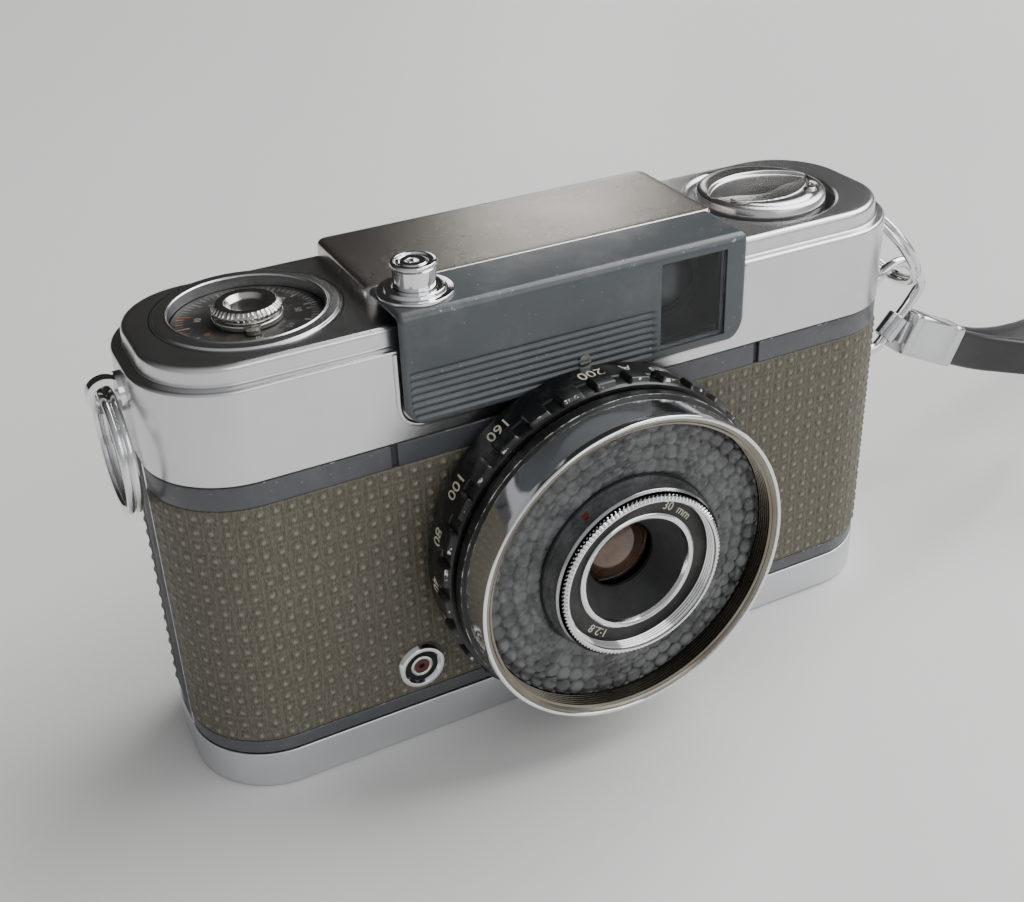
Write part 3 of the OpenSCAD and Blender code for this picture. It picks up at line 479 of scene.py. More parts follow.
def enamel(name, colour, rough, bare, primer, start=0.5, coat=0.25):
    """Paint on metal: chipped to bare metal along rubbed edges, with specks of dust."""
    f = Finish(name, Coat_Weight=coat, Coat_Roughness=0.12)
    chips = use(f, RUB, Scale=700, Start=start, Full=start + 0.03)["Mask"]
    patchy = use(f, MOTTLE, Scale=260, Low=0.5, High=0.56)["Mask"]
    cloud = use(f, MOTTLE, Scale=60, Low=0.3, High=0.7)["Mask"]
    dust = use(f, DUST, Scale=560, Size=0.1, Amount=0.5)["Mask"]
    dark = tuple(c * 0.86 for c in colour)
    tone = blend_colours(f, cloud, (*colour, 1), (*dark, 1))
    chip = blend_colours(f, patchy, (*bare, 1), (*primer, 1))
    tone = blend_colours(f, chips, tone, chip)
    f.feed("Base Color", blend_colours(f, dust, tone, (0.55, 0.55, 0.52, 1)))
    f.feed("Roughness", rise(f, cloud, rough, rough + 0.1))
    f.feed("Normal", use(f, GRAIN, Scale=2600, Strength=0.05)["Normal"])
    return f.material


def plain(name, colour, rough, variation=0.8, grain=0.08, metallic=0.0, scale=3000, dirt=0.2):
    """Moulded or matt surface: slight change of tone, dust, and a grain."""
    f = Finish(name, Metallic=metallic)
    cloud = use(f, MOTTLE, Scale=160, Low=0.3, High=0.7)["Mask"]
    dust = use(f, DUST, Scale=900, Amount=dirt)["Mask"]
    dark = tuple(c * variation for c in colour)
    tone = blend_colours(f, cloud, (*colour, 1), (*dark, 1))
    f.feed("Base Color", blend_colours(f, dust, tone, (0.35, 0.34, 0.31, 1)))
    f.feed("Roughness", rise(f, cloud, rough, min(rough + 0.15, 1)))
    f.feed("Normal", use(f, GRAIN, Scale=scale, Strength=grain)["Normal"])
    return f.material


def embossed_leather():
    """Taupe cloth-backed skin: upright threads along the piece's own map, paler rubbed studs, and painted
    shade darkening the moats round them.
    """
    f = Finish("Leatherette", Specular_IOR_Level=0.35)
    lay = f.add("ShaderNodeUVMap", uv_map="Lay").outputs["UV"]
    threads = f.add("ShaderNodeTexNoise", {
        "Vector": f.add("ShaderNodeMapping", {"Vector": lay, "Scale": (3.4, 0.42, 1)}).outputs[0],
        "Scale": 1.0, "Detail": 3.0, "Roughness": 0.75})
    fine = f.add("ShaderNodeTexNoise", {
        "Vector": f.add("ShaderNodeMapping", {"Vector": lay, "Scale": (7.5, 1.6, 1)}).outputs[0],
        "Scale": 1.0, "Detail": 2.0})
    both = f.add("ShaderNodeMath", {0: threads.outputs["Fac"], 1: fine.outputs["Fac"]},
                 operation="ADD").outputs[0]
    stripe = f.add("ShaderNodeMapRange", {
        "Value": both, "From Min": 0.78, "From Max": 1.22}).outputs["Result"]
    cloud = use(f, MOTTLE, Scale=55, Low=0.3, High=0.7)["Mask"]
    rubbed = f.add("ShaderNodeAttribute", attribute_name="wear_and_shade").outputs["Fac"]
    tone = blend_colours(f, stripe, (0.078, 0.070, 0.050, 1), (0.185, 0.170, 0.130, 1))
    tone = blend_colours(f, f.add("ShaderNodeMath", {0: cloud, 1: 0.3}, operation="MULTIPLY").outputs[0],
                         tone, (0.105, 0.092, 0.064, 1))
    lift = f.add("ShaderNodeMapRange", {"Value": rubbed, "From Min": 0.35, "From Max": 1.0,
                                        "To Max": 0.75}).outputs["Result"]
    # Painted shade: where the rubbed value falls below zero, in the moats round the studs, the tone darkens
    # towards near black.
    moat_shade = f.add("ShaderNodeMapRange", {"Value": rubbed, "From Min": -0.1, "From Max": -0.45,
                                        "To Max": 0.3}).outputs["Result"]
    tone = blend_colours(f, moat_shade, tone, (0.035, 0.030, 0.022, 1))
    f.feed("Base Color", blend_colours(f, lift, tone, (0.30, 0.28, 0.235, 1)))
    f.feed("Roughness", rise(f, stripe, 0.62, 0.5))
    bump = f.add("ShaderNodeBump", {"Height": both, "Strength": 0.35, "Distance": 0.00012})
    f.feed("Normal", bump.outputs["Normal"])
    return f.material


def clear(name, colour, rough, ior=1.49, smear=0.1):
    """Clear moulded or ground piece with a faint smear."""
    f = Finish(name, Base_Color=(*colour, 1), IOR=ior, Transmission_Weight=1.0)
    cloud = use(f, MOTTLE, Scale=300, Low=0.45, High=0.8)["Mask"]
    f.feed("Roughness", rise(f, cloud, rough, rough + smear))
    return f.material


def bubbled_moulding():
    """Grey clear moulding: painted shade makes the valleys between its domes dark; their tops get a paler,
    uneven tone.
    """
    f = Finish("Bubbled moulding", IOR=1.49, Transmission_Weight=0.3)
    dome = f.add("ShaderNodeAttribute", attribute_name="wear_and_shade").outputs["Fac"]
    cloud = use(f, MOTTLE, Scale=330, Low=0.35, High=0.65)["Mask"]
    body = blend_colours(f, cloud, (0.07, 0.072, 0.074, 1), (0.19, 0.193, 0.195, 1))
    lift = f.add("ShaderNodeMapRange", {"Value": dome, "From Min": 0.25, "From Max": 0.85}).outputs[0]
    # Painted shade: low dome values, in the valleys between domes, blend the tone towards near black.
    f.feed("Base Color", blend_colours(f, lift, (0.018, 0.018, 0.019, 1), body))
    f.feed("Roughness", rise(f, cloud, 0.05, 0.22))
    return f.material


def coated_glass():
    """Front element: dark glass with an amber coating that shows at its own angle."""
    f = Finish("Coated glass", IOR=1.6, Coat_Weight=0.6, Coat_Roughness=0.02, Metallic=0.35)
    edge = f.add("ShaderNodeLayerWeight", {"Blend": 0.35}).outputs["Facing"]
    cloud = use(f, MOTTLE, Scale=160, Low=0.35, High=0.65)["Mask"]
    tone = blend_colours(f, cloud, (0.17, 0.098, 0.05, 1), (0.07, 0.04, 0.024, 1))
    f.feed("Base Color", blend_colours(f, edge, tone, (0.03, 0.02, 0.025, 1)))
    f.feed("Roughness", rise(f, cloud, 0.06, 0.12))
    return f.material


SATIN = metal("Satin plate", (0.72, 0.72, 0.73), (0.66, 0.66, 0.67), 0.22, 0.08, dirt=0.05)
BASE_METAL = metal("Satin base", (0.70, 0.71, 0.73), (0.60, 0.61, 0.63), 0.30, 0.10, dirt=0.1)
# The hump's plate is the cover's satin metal painted darker and browner: a painted reflection of something
# dark brown.
HUMP_PLATE_PAINTED_REFLECTION = metal("Hump plate painted reflection", (0.60, 0.57, 0.53), (0.54, 0.51, 0.47), 0.24, 0.07, dirt=0.06)
CHROME = metal("Polished chrome", (0.86, 0.86, 0.87), (0.72, 0.72, 0.72), 0.07, 0.03, dirt=0.25)
WORN_CHROME = metal("Worn chrome", (0.74, 0.73, 0.70), (0.5, 0.49, 0.45), 0.16, 0.12, dirt=0.5)
STEEL = metal("Bare steel", (0.56, 0.55, 0.54), (0.42, 0.41, 0.40), 0.25, 0.08)
CAST = metal("Cast frame", (0.30, 0.30, 0.31), (0.2, 0.2, 0.21), 0.45, 0.25, brush=1800)
BRASS = metal("Plated brass", (0.66, 0.56, 0.34), (0.5, 0.42, 0.26), 0.25, 0.06)
SLATE = enamel("Slate enamel", (0.062, 0.073, 0.080), 0.28, (0.5, 0.49, 0.46), (0.30, 0.30, 0.29),
               start=0.48)
STRIP = enamel("Strip enamel", (0.070, 0.076, 0.083), 0.34, (0.45, 0.44, 0.40), (0.26, 0.09, 0.05),
               start=0.53)
BLACK = enamel("Black enamel", (0.0045, 0.0045, 0.005), 0.24, (0.7, 0.7, 0.68), (0.45, 0.42, 0.3),
               start=0.45, coat=0.12)
# Near black for the front shell, which shows in the seam at each side: painted shade of the seam gap.
SEAM_SHADE_BLACK = plain("Seam shade black", (0.030, 0.032, 0.036), 0.35, dirt=0.1)
MATT_BLACK = plain("Matt black", (0.008, 0.008, 0.009), 0.55)
DIAL_BLACK = plain("Dial black", (0.014, 0.013, 0.012), 0.4, dirt=0.9, scale=1500)
PLASTIC = plain("Black plastic", (0.012, 0.012, 0.012), 0.35)
CELL = plain("Light cell", (0.10, 0.10, 0.105), 0.45, metallic=0.4)
INSULATOR = plain("Insulator", (0.13, 0.022, 0.015), 0.35)
WHITE_PAINT = plain("Cream paint", (0.72, 0.68, 0.54), 0.5, dirt=0.1)
WORN_PAINT = plain("Worn paint", (0.34, 0.33, 0.29), 0.5, variation=0.25, dirt=0.5)
ORANGE_PAINT = plain("Orange paint", (0.38, 0.11, 0.02), 0.5, variation=0.4)
RED_PAINT = plain("Red paint", (0.24, 0.03, 0.02), 0.4)
LEATHER = embossed_leather()
MOULDED = bubbled_moulding()
WINDOW = clear("Window glass", (0.80, 0.82, 0.83), 0.0, ior=1.26, smear=0.02)
AMBER = coated_glass()
VINYL = plain("Strap vinyl", (0.018, 0.018, 0.020), 0.28, grain=0.12, scale=2200, dirt=0.1)
FINDER_GLASS = plain("Finder lens", (0.10, 0.105, 0.11), 0.06, variation=0.6, metallic=0.6, dirt=0.5)
SATIN_KNOB = metal("Turned knob", (0.70, 0.69, 0.68), (0.62, 0.61, 0.60), 0.2, 0.05, dirt=0.08)
SKIRT = metal("Smoked metal", (0.50, 0.50, 0.51), (0.34, 0.34, 0.345), 0.18, 0.015, dirt=0.2)
# Darker and warmer than the bezel's chrome, for the inner wall with its threads.
THREAD = metal("Dark thread", (0.30, 0.285, 0.245), (0.15, 0.125, 0.095), 0.2, 0.03, dirt=0.4)
CLAMP_METAL = metal("Clamp plate", (0.66, 0.665, 0.68), (0.55, 0.555, 0.57), 0.2, 0.04, dirt=0.15)


# ---- camera ----


def set_camera():
    """A camera that looks down at the front from the left, with a slight tilt."""
    azimuth, elevation, roll = math.radians(-27.38), math.radians(29.96), math.radians(-1.59)
    back = np.array([math.sin(azimuth) * math.cos(elevation),
                     -math.cos(azimuth) * math.cos(elevation), math.sin(elevation)])
    right = np.array([math.cos(azimuth), math.sin(azimuth), 0.0])
    up = np.cross(back, right)
    level_right = math.cos(roll) * right + math.sin(roll) * up
    level_up = math.cos(roll) * up - math.sin(roll) * right
    data = bpy.data.cameras.new("View")
    data.sensor_width = 36.0
    data.lens = 47.83
    data.shift_x, data.shift_y = -0.0287, -0.0308
    data.clip_start = 0.01
    eye = bpy.data.objects.new("View", data)
    bpy.context.scene.collection.objects.link(eye)
    placed = np.eye(4)
    placed[:3, 0], placed[:3, 1], placed[:3, 2] = level_right, level_up, back
    placed[:3, 3] = np.array([-80.08, -156.88, 139.52]) * MM
    eye.matrix_world = Matrix(placed.tolist())
    bpy.context.scene.camera = eye


set_camera()


# ---- wrist strap ----

STRAP_POINTS = [
    [82.6, -1.3, 29.3], [88.5, -1.5, 26.8], [94.5, -2.3, 24.9], [101, -3.8, 23.2],
    [108, -6.2, 21.4], [116, -9.8, 19.2], [124, -13.8, 16.8], [132, -17.8, 14.4],
    [140, -21.2, 12.0], [148, -23.8, 9.8], [156, -25.4, 7.7], [164, -25.6, 5.9],
    [172, -23.8, 4.6], [179, -19.6, 3.9], [184, -13.2, 3.6], [187, -5.2, 3.5],
    [187, 3.6, 3.5], [184.4, 11.8, 3.6], [179.6, 18.6, 3.9], [172.6, 23.4, 4.6],
    [164.4, 25.6, 5.9], [156, 25.6, 7.7], [148, 24, 9.8], [140, 21.4, 12.0],
    [132, 18, 14.4], [124, 14, 16.8], [116, 10, 19.2], [108, 6.4, 21.4],
    [101, 4, 23.2], [94.5, 2.4, 24.9], [88.5, 1.6, 26.8], [82.6, 1.3, 29.3],
]
STRAP_DIRECTION = np.array([0.9, 0, -0.436]) / math.hypot(0.9, 0.436)
STRAP_W, STRAP_T = 6.5, 2.2


def smooth_line(points, per_span):
    """Catmull-Rom curve through the points: each span is the cubic through its two ends whose
    slopes are half the chord between its neighbours."""
    p = np.array(points, float)
    p = np.vstack([p[:1], p, p[-1:]])
    t = np.linspace(0, 1, per_span, endpoint=False)[None, :, None]
    p0, p1, p2, p3 = (p[k:len(p) - 3 + k, None, :] for k in range(4))
    line = 0.5 * (2 * p1 + (p2 - p0) * t + (2 * p0 - 5 * p1 + 4 * p2 - p3) * t**2
                  + (3 * p1 - p0 - 3 * p2 + p3) * t**3)
    return np.vstack([line.reshape(-1, 3), p[-2:-1]])


def make_strap():
    """A flat band on edge: a rounded section carried along the line."""
    line = smooth_line(STRAP_POINTS, 6)
    along = np.gradient(line, axis=0)
    along[0], along[-1] = STRAP_DIRECTION, -STRAP_DIRECTION
    along /= np.linalg.norm(along, axis=1, keepdims=True)
    side = np.stack([-along[:, 1], along[:, 0], np.zeros(len(line))], -1)
    side /= np.linalg.norm(side, axis=1, keepdims=True)
    up = np.cross(along, side)
    half_t, half_w = STRAP_T / 2, STRAP_W / 2
    section, wear_and_shade = soften([(half_t, half_w, 0.8), (-half_t, half_w, 0.8), (-half_t, -half_w, 0.8),
                            (half_t, -half_w, 0.8)])
    points = (line[:, None] + side[:, None] * section[None, :, :1] + up[:, None] * section[None, :, 1:])
    length = np.concatenate([[0], np.cumsum(np.linalg.norm(np.diff(line, axis=0), axis=1))])
    uv = np.stack(np.broadcast_arrays(length[:, None], np.arange(len(section))[None] * 0.4), -1)
    strap = piece("strap_band", [patch(points, (False, True), wear_and_shade=wear_and_shade * 0.6, uv=uv, caps=(0, -1))],
                  VINYL, "strap", ["wrist_strap"], "strap_vinyl", crease=50)


make_strap()


# ---- body ----


def studded_skin(name, which, node, stud_steps, hidden=()):
    """Outer face of the leatherette on a grid along the walk and up: inset is minus a dome
    1 - (d / 0.25)^2 of the distance d from the nearest point of a square pattern, in pitches, plus
    a square moat exp(-((m - 0.32) / 0.1)^2) of the larger side distance m, and it grows in a small
    curve at the top and bottom edges. Quads under hidden circles are left out."""
    step = STUD_PITCH / stud_steps
    path = walk(body_corners(which), CORNER, step, int(CORNER * math.pi / 2 / step))
    z = np.concatenate([[SKIN_Z0], np.arange(SKIN_Z0 + 0.04, SKIN_Z1 - 0.04, step), [SKIN_Z1]])
    u, v = np.meshgrid(path[2], z, indexing="ij")
    off_u = np.abs((u / STUD_PITCH) % 1 - 0.5)
    off_v = np.abs(((v - SKIN_Z0) / STUD_PITCH) % 1 - 0.5)
    dome = np.clip(1 - (off_u**2 + off_v**2) / 0.25**2, 0, 1)
    moat = np.exp(-(((np.maximum(off_u, off_v) - 0.32) / 0.1) ** 2))
    rim = np.clip(1 - np.minimum(v - SKIN_Z0, SKIN_Z1 - v) / 0.35, 0, 1) ** 2
    inset = 0.2 * rim - (STUD_HEIGHT * dome - 0.06 * moat) * (1 - rim)
    inset = np.pad(inset, ((0, 0), (1, 1)), constant_values=SKIN_T)
    z = np.concatenate([z[:1], z, z[-1:]])
    # The dome less part of the moat is passed on as the rubbed value: the leatherette's finish makes the
    # stud tops paler as rubbed and paints shade into the moats.
    dome = np.pad(dome - 0.45 * moat, ((0, 0), (1, 1)))
    flat = path[0][:, None] + path[1][:, None] * (CORNER - inset)[..., None]
    points = np.concatenate([flat, np.broadcast_to(z, inset.shape)[..., None]], -1)
    uv = np.stack(np.broadcast_arrays(path[2][:, None], z[None]), -1)

    def keep(middles):
        """True for quads outside the hidden circles."""
        stays = np.ones(len(middles), bool)
        for x, height, radius in hidden:
            stays &= np.hypot(middles[:, 0] - x, middles[:, 2] - height) > radius
        return stays

    body = "camera" if which == "front" else "back"
    piece(name, [patch(points, wear_and_shade=dome, uv=uv, keep=keep if hidden else None)], LEATHER, body,
          [node], "leatherette", closed=False, crease=60)


studded_skin("front_skin", "front", "front_leatherette", 10, [(*LENS, 17.6), (*SYNC, 3.2)])
studded_skin("back_skin", "back", "back_leatherette", 8)


def painted_strips():
    """Painted strips over and under the leatherette: rounded bars carried round the front."""
    inset = 0.12
    upper = walk(body_corners("front"), CORNER, 1.0, 40)
    outline = [(inset, SKIN_Z1 + 0.06, 0.15), (inset, COVER_Z - 0.2, 0.2),
               (SKIN_T, COVER_Z - 0.2), (SKIN_T, SKIN_Z1 + 0.06)]
    profile, wear_and_shade = soften(outline, 3)
    points = carried(upper, CORNER, profile)
    along = upper[0][:, 0]
    seams = (-HALF_W - 1, -28, 29, HALF_W + 1)
    for name, first, last in zip(("left", "middle", "right"), seams, seams[1:]):
        rows = points[(along >= first) & (along <= last)].copy()
        uv = rows[..., [0, 2]]
        piece(f"upper_strip_{name}", [patch(rows, (False, True), wear_and_shade=wear_and_shade, uv=uv, caps=(0, -1))],
              STRIP, "camera", [f"upper_trim_{name}"], "grey_paint")
    lower = [(inset, STRIP_Z + 0.18, 0.2), (inset, SKIN_Z0 - 0.12, 0.2), (SKIN_T, SKIN_Z0 - 0.12),
             (SKIN_T, STRIP_Z + 0.18)]
    piece("lower_strip", [band("front", lower)], STRIP, "camera", ["lower_trim"], "grey_paint")


painted_strips()


def rear_and_base():
    """Base tray and back wall in one pressing: two profiles carried round, and a pierced floor."""
    wall = 1.5
    tray = [(1.6, 0.0, 0.2), (0.0, 0.0, 1.1), (0.0, STRIP_Z - 0.05, 0.25), (wall, STRIP_Z - 0.05),
            (wall, 1.4), (1.6, 1.4)]
    rear = [(0.12, STRIP_Z - 1, 0), (0.12, COVER_Z - 0.15, 0.25), (0.12 + wall, COVER_Z - 0.15),
            (0.12 + wall, STRIP_Z - 1)]
    piece("back_pressing", [band("all", tray, steps=6), band("back", rear)], BASE_METAL, "back",
          ["back_cover"], "satin_metal")
    key = centre("lock_key", 0, 1)
    release = centre("rewind_release", 0, 1)
    centres, outward, _ = walk(body_corners("all"), CORNER, 5, 32, True)
    outline = centres + outward * (CORNER - 1.58)
    holes = [circle(*key, 7.9), circle(0, 0, 5.25), circle(*release, 1.85, 48)]
    place("base_floor", flat_plate("base_floor", [outline, *holes], 1.4, 1.38), BASE_METAL, "back")
    seat = [(7.9, 0.0), (7.9, 1.1), (1.6, 1.1), (1.6, 1.5), (8.3, 1.5), (8.3, 0.0)]
    piece("key_seat", [turned(seat, "up", key)], BASE_METAL, "back")


rear_and_base()


def outside_window(middles):
    """True away from the opening that the front of the cover leaves behind the viewfinder window."""
    x = np.abs(middles[:, 0] - middle("viewfinder_glass", 0))
    return ~((x < 5.6) & (middles[:, 1] < 0) & (middles[:, 2] > COVER_Z + 2.8))


def cover():
    """Top cover: the side, its ledge and the rounded rise carried round the plan, a pierced top
    plate, the raised ring over the counter, the lip of the knob's recess, and its floor."""
    rim = [(0.9, COVER_Z), (0, COVER_Z, 0.2), (0, COVER_Z + 2.8), (0, LEDGE_Z, 0.55),
           (LEDGE_W, LEDGE_Z, 0.3), (LEDGE_W + 0.15, TOP_Z, 1.3), (3.4, TOP_Z), (3.4, TOP_Z - 1),
           (2.8, TOP_Z - 1), (2.4, LEDGE_Z - 1), (0.9, LEDGE_Z - 1), (0.9, COVER_Z + 2.8)]
    ring = [(12.4, TOP_Z - 0.6), (12.4, TOP_Z), (11.95, TOP_Z, 0.15), (11.75, TOP_Z + 0.3, 0.15),
            (10.5, TOP_Z + 0.34, 0.2), (10.2, TOP_Z + 0.5, 0.15), (10.0, TOP_Z + 0.3, 0.15),
            (10.0, TOP_Z - 2.4), (11.0, TOP_Z - 2.4)]
    lip = [(11.9, TOP_Z - 0.8), (11.9, TOP_Z, 0.1), (11.55, TOP_Z, 0.2), (10.9, TOP_Z - 0.25, 0.5),
           (10.9, RECESS_Z, 0.3), (3.3, RECESS_Z), (3.3, RECESS_Z - 0.9), (11.9, RECESS_Z - 0.9)]
    piece("cover_shell", [band("all", rim, arc_steps=48, steps=6, keep=outside_window),
                          turned(ring, "up", COUNTER), turned(lip, "up", KNOB)],
          SATIN, "camera", ["top_cover"], "satin_metal")
    centres, outward, _ = walk(body_corners("all"), CORNER, 5, 48, True)
    outline = centres + outward * (CORNER - 3.4)
    place("cover_top", flat_plate("cover_top", [outline, circle(*COUNTER, 12.3, 128),
                                                circle(*KNOB, 11.8, 128)], TOP_Z, 0.9),
          SATIN, "camera")


def hump():
    """Raised housing over the viewfinder: a rounded edge carried round its own plan, with a flat top,
    in the hump plate, whose darker, browner colour is a painted reflection.
    """
    x, y0, y1, r = HUMP_HALF, FASCIA_BACK, BACK - LEDGE_W, 1.6
    corners = [(-x + r, y0 + r, 180, 270), (x - r, y0 + r, 270, 360), (x - r, y1 - r, 0, 90),
               (-x + r, y1 - r, 90, 180)]
    path = walk(corners, r, 50, 8, True)
    profile, wear_and_shade = soften([(0, TOP_Z - 0.3), (0.1, HUMP_Z, 1.2), (1.58, HUMP_Z)], 6, closed=False)
    points = carried(path, r, profile)
    top = patch(points, (True, False), wear_and_shade=wear_and_shade[None])
    face = (np.arange(len(path[0])) * len(profile) + len(profile) - 1).tolist()
    top[1].append(face)
    piece("hump", [top], HUMP_PLATE_PAINTED_REFLECTION, "camera", closed=False, crease=30)


cover()
hump()


# ---- fascia and viewfinder ----


def fascia():
    """Painted front plate: a profile that climbs the front, turns over the top edge and runs back,
    carried from side to side. Its ends shrink in a quarter circle, its lower corners follow a circle
    of 3.2, seven grooves are cosine dips, and the quads inside the window are left out."""
    x0, x1 = low("fascia", 0), high("fascia", 0)
    z0, z1 = low("fascia", 2), high("fascia", 2)
    face, back = low("fascia", 1), FASCIA_BACK
    corner, edge, over = 3.2, 0.45, 1.3
    turn = np.linspace(0, math.pi / 2, 9)
    groove_z = np.arange(57) / 8 * 1.02 + z0 + 0.75
    rise_z = np.concatenate([groove_z, np.arange(groove_z[-1] + 0.5, z1 - over, 0.4)])
    window = (low("viewfinder_glass", 0) - 0.05, high("viewfinder_glass", 0) + 0.05,
              low("viewfinder_glass", 2) - 0.05, high("viewfinder_glass", 2) + 0.05)
    rise_z = np.unique(np.concatenate([rise_z, window[2:]]))
    y = np.concatenate([[FRONT], face + edge * (1 - np.sin(turn)), np.full(len(rise_z), face),
                        face + over * (1 - np.cos(turn)), [back, back]])
    z = np.concatenate([[z0], z0 + edge * (1 - np.cos(turn)), rise_z, z1 - over * (1 - np.sin(turn)),
                        [z1, z1 - 1.0]])
    normal = np.stack([np.gradient(z), -np.gradient(y)], -1)
    normal /= np.linalg.norm(normal, axis=1, keepdims=True) + 1e-9
    end = 0.7 * (1 - np.cos(turn))
    share = np.concatenate([end, np.linspace(0.8, 3.2, 9)])
    groove_end = 10.3
    between = np.concatenate([np.linspace(x0 + 3.6, groove_end - 0.3, 24), [groove_end],
                              [window[0]], np.linspace(window[0] + 1, window[1] - 1, 6), [window[1]]])
    x = np.concatenate([x0 + share, between, (x1 - share)[::-1]])
    low_side = np.clip(corner - (z - z0), 0, corner)
    cut = corner - np.sqrt(np.maximum(corner**2 - low_side**2, 0))
    cut[z > z0 + corner] = 0
    pull = np.clip((corner - np.minimum(x - x0, x1 - x)) / corner, 0, 1)
    side = np.where(x < (x0 + x1) / 2, 1.0, -1.0)
    px = x[:, None] + (side * pull)[:, None] * cut[None]
    shrink = np.zeros(len(x))
    shrink[: len(end)] = 0.7 * (1 - np.sin(turn))
    shrink[-len(end):] = shrink[: len(end)][::-1]
    phase = (z - groove_z[0]) / 1.02
    dip = 0.3 * (0.5 - 0.5 * np.cos(2 * math.pi * np.clip(phase, 0, 7))) ** 2
    reach = ((x > x0 + 1.0) & (x < groove_end - 0.1)).astype(float)
    depth = shrink[:, None] + reach[:, None] * (dip * (z < z0 + 9))[None]
    py = y[None] + depth * normal[None, :, 0]
    pz = z[None] + depth * normal[None, :, 1]
    points = np.stack([px, py, pz], -1)
    wear_and_shade = np.zeros_like(px)
    wear_and_shade[: len(end) + 1] = wear_and_shade[-len(end) - 1:] = 0.6
    wear_and_shade[:, (y > face + 0.02) & (y < face + 0.6) & (z > z1 - over)] = 0.74
    wear_and_shade[:, :6] = 0.7

    def keep(middles):
        """True for quads outside the window."""
        mx, my, mz = middles.T
        return ~((mx > window[0]) & (mx < window[1]) & (mz > window[2]) & (mz < window[3]) & (my < FRONT))

    reveal = []
    rect_x, rect_z = np.array(window)[[0, 1, 1, 0]], np.array(window)[[2, 2, 3, 3]]
    out_x, out_z = np.array([-1, 1, 1, -1]), np.array([-1, -1, 1, 1])
    for grow, depth_in in ((0.0, 0.0), (-0.02, 0.25), (-0.05, 1.1), (-0.35, 1.15), (-0.4, 1.9)):
        reveal.append(np.stack([rect_x + out_x * grow, np.full(4, face + depth_in),
                                rect_z + out_z * grow], -1))
    walls = np.stack(reveal, 1)
    piece("fascia_plate", [patch(points, wear_and_shade=wear_and_shade, keep=keep), patch(walls[::-1], (True, False))],
          SLATE, "camera", ["fascia"], "grey_paint", closed=False, crease=50)


fascia()


def finder():
    """Behind the window: a domed lens in a matt cell."""
    at = centre("viewfinder_glass", 0, 2)
    lens = [(0, -4.4), (3.0, -5.0, 0.3), (4.6, -6.0, 0.3), (5.1, -6.8), (5.1, -7.7), (0, -7.7)]
    piece("finder_lens", [turned(lens, "lens", at, 64)], FINDER_GLASS, "camera")
    ring = [(5.1, -6.4), (5.1, -8.0), (5.9, -8.0), (5.9, -6.2, 0.2), (5.4, -6.0, 0.2)]
    piece("finder_lens_cell", [turned(ring, "lens", at, 64)], MATT_BLACK, "camera")


def fascia_bead():
    """Bright bead of the cover round the fascia: a half round section carried down one side, round
    the two lower corners and up the other."""
    x0, x1 = low("fascia", 0) - 0.42, high("fascia", 0) + 0.42
    z0 = low("fascia", 2) - 0.42
    line, _ = soften([(x0, LEDGE_Z - 0.4), (x0, z0, 3.6), (x1, z0, 3.6), (x1, LEDGE_Z - 0.4)], 12,
                     closed=False)
    along = np.gradient(line, axis=0)
    along /= np.linalg.norm(along, axis=1, keepdims=True)
    side = np.stack([along[:, 1], -along[:, 0]], -1)
    t = np.linspace(0, math.pi, 9)
    flat = line[:, None] + 0.4 * np.cos(t)[None, :, None] * side[:, None]
    y = np.broadcast_to(FRONT + 0.02 - 0.42 * np.sin(t), flat.shape[:2])
    points = np.stack([flat[..., 0], y, flat[..., 1]], -1)
    piece("fascia_bead", [patch(points)], SATIN, "camera", closed=False)


fascia_bead()
finder()


# ---- counter, button, rewind knob ----


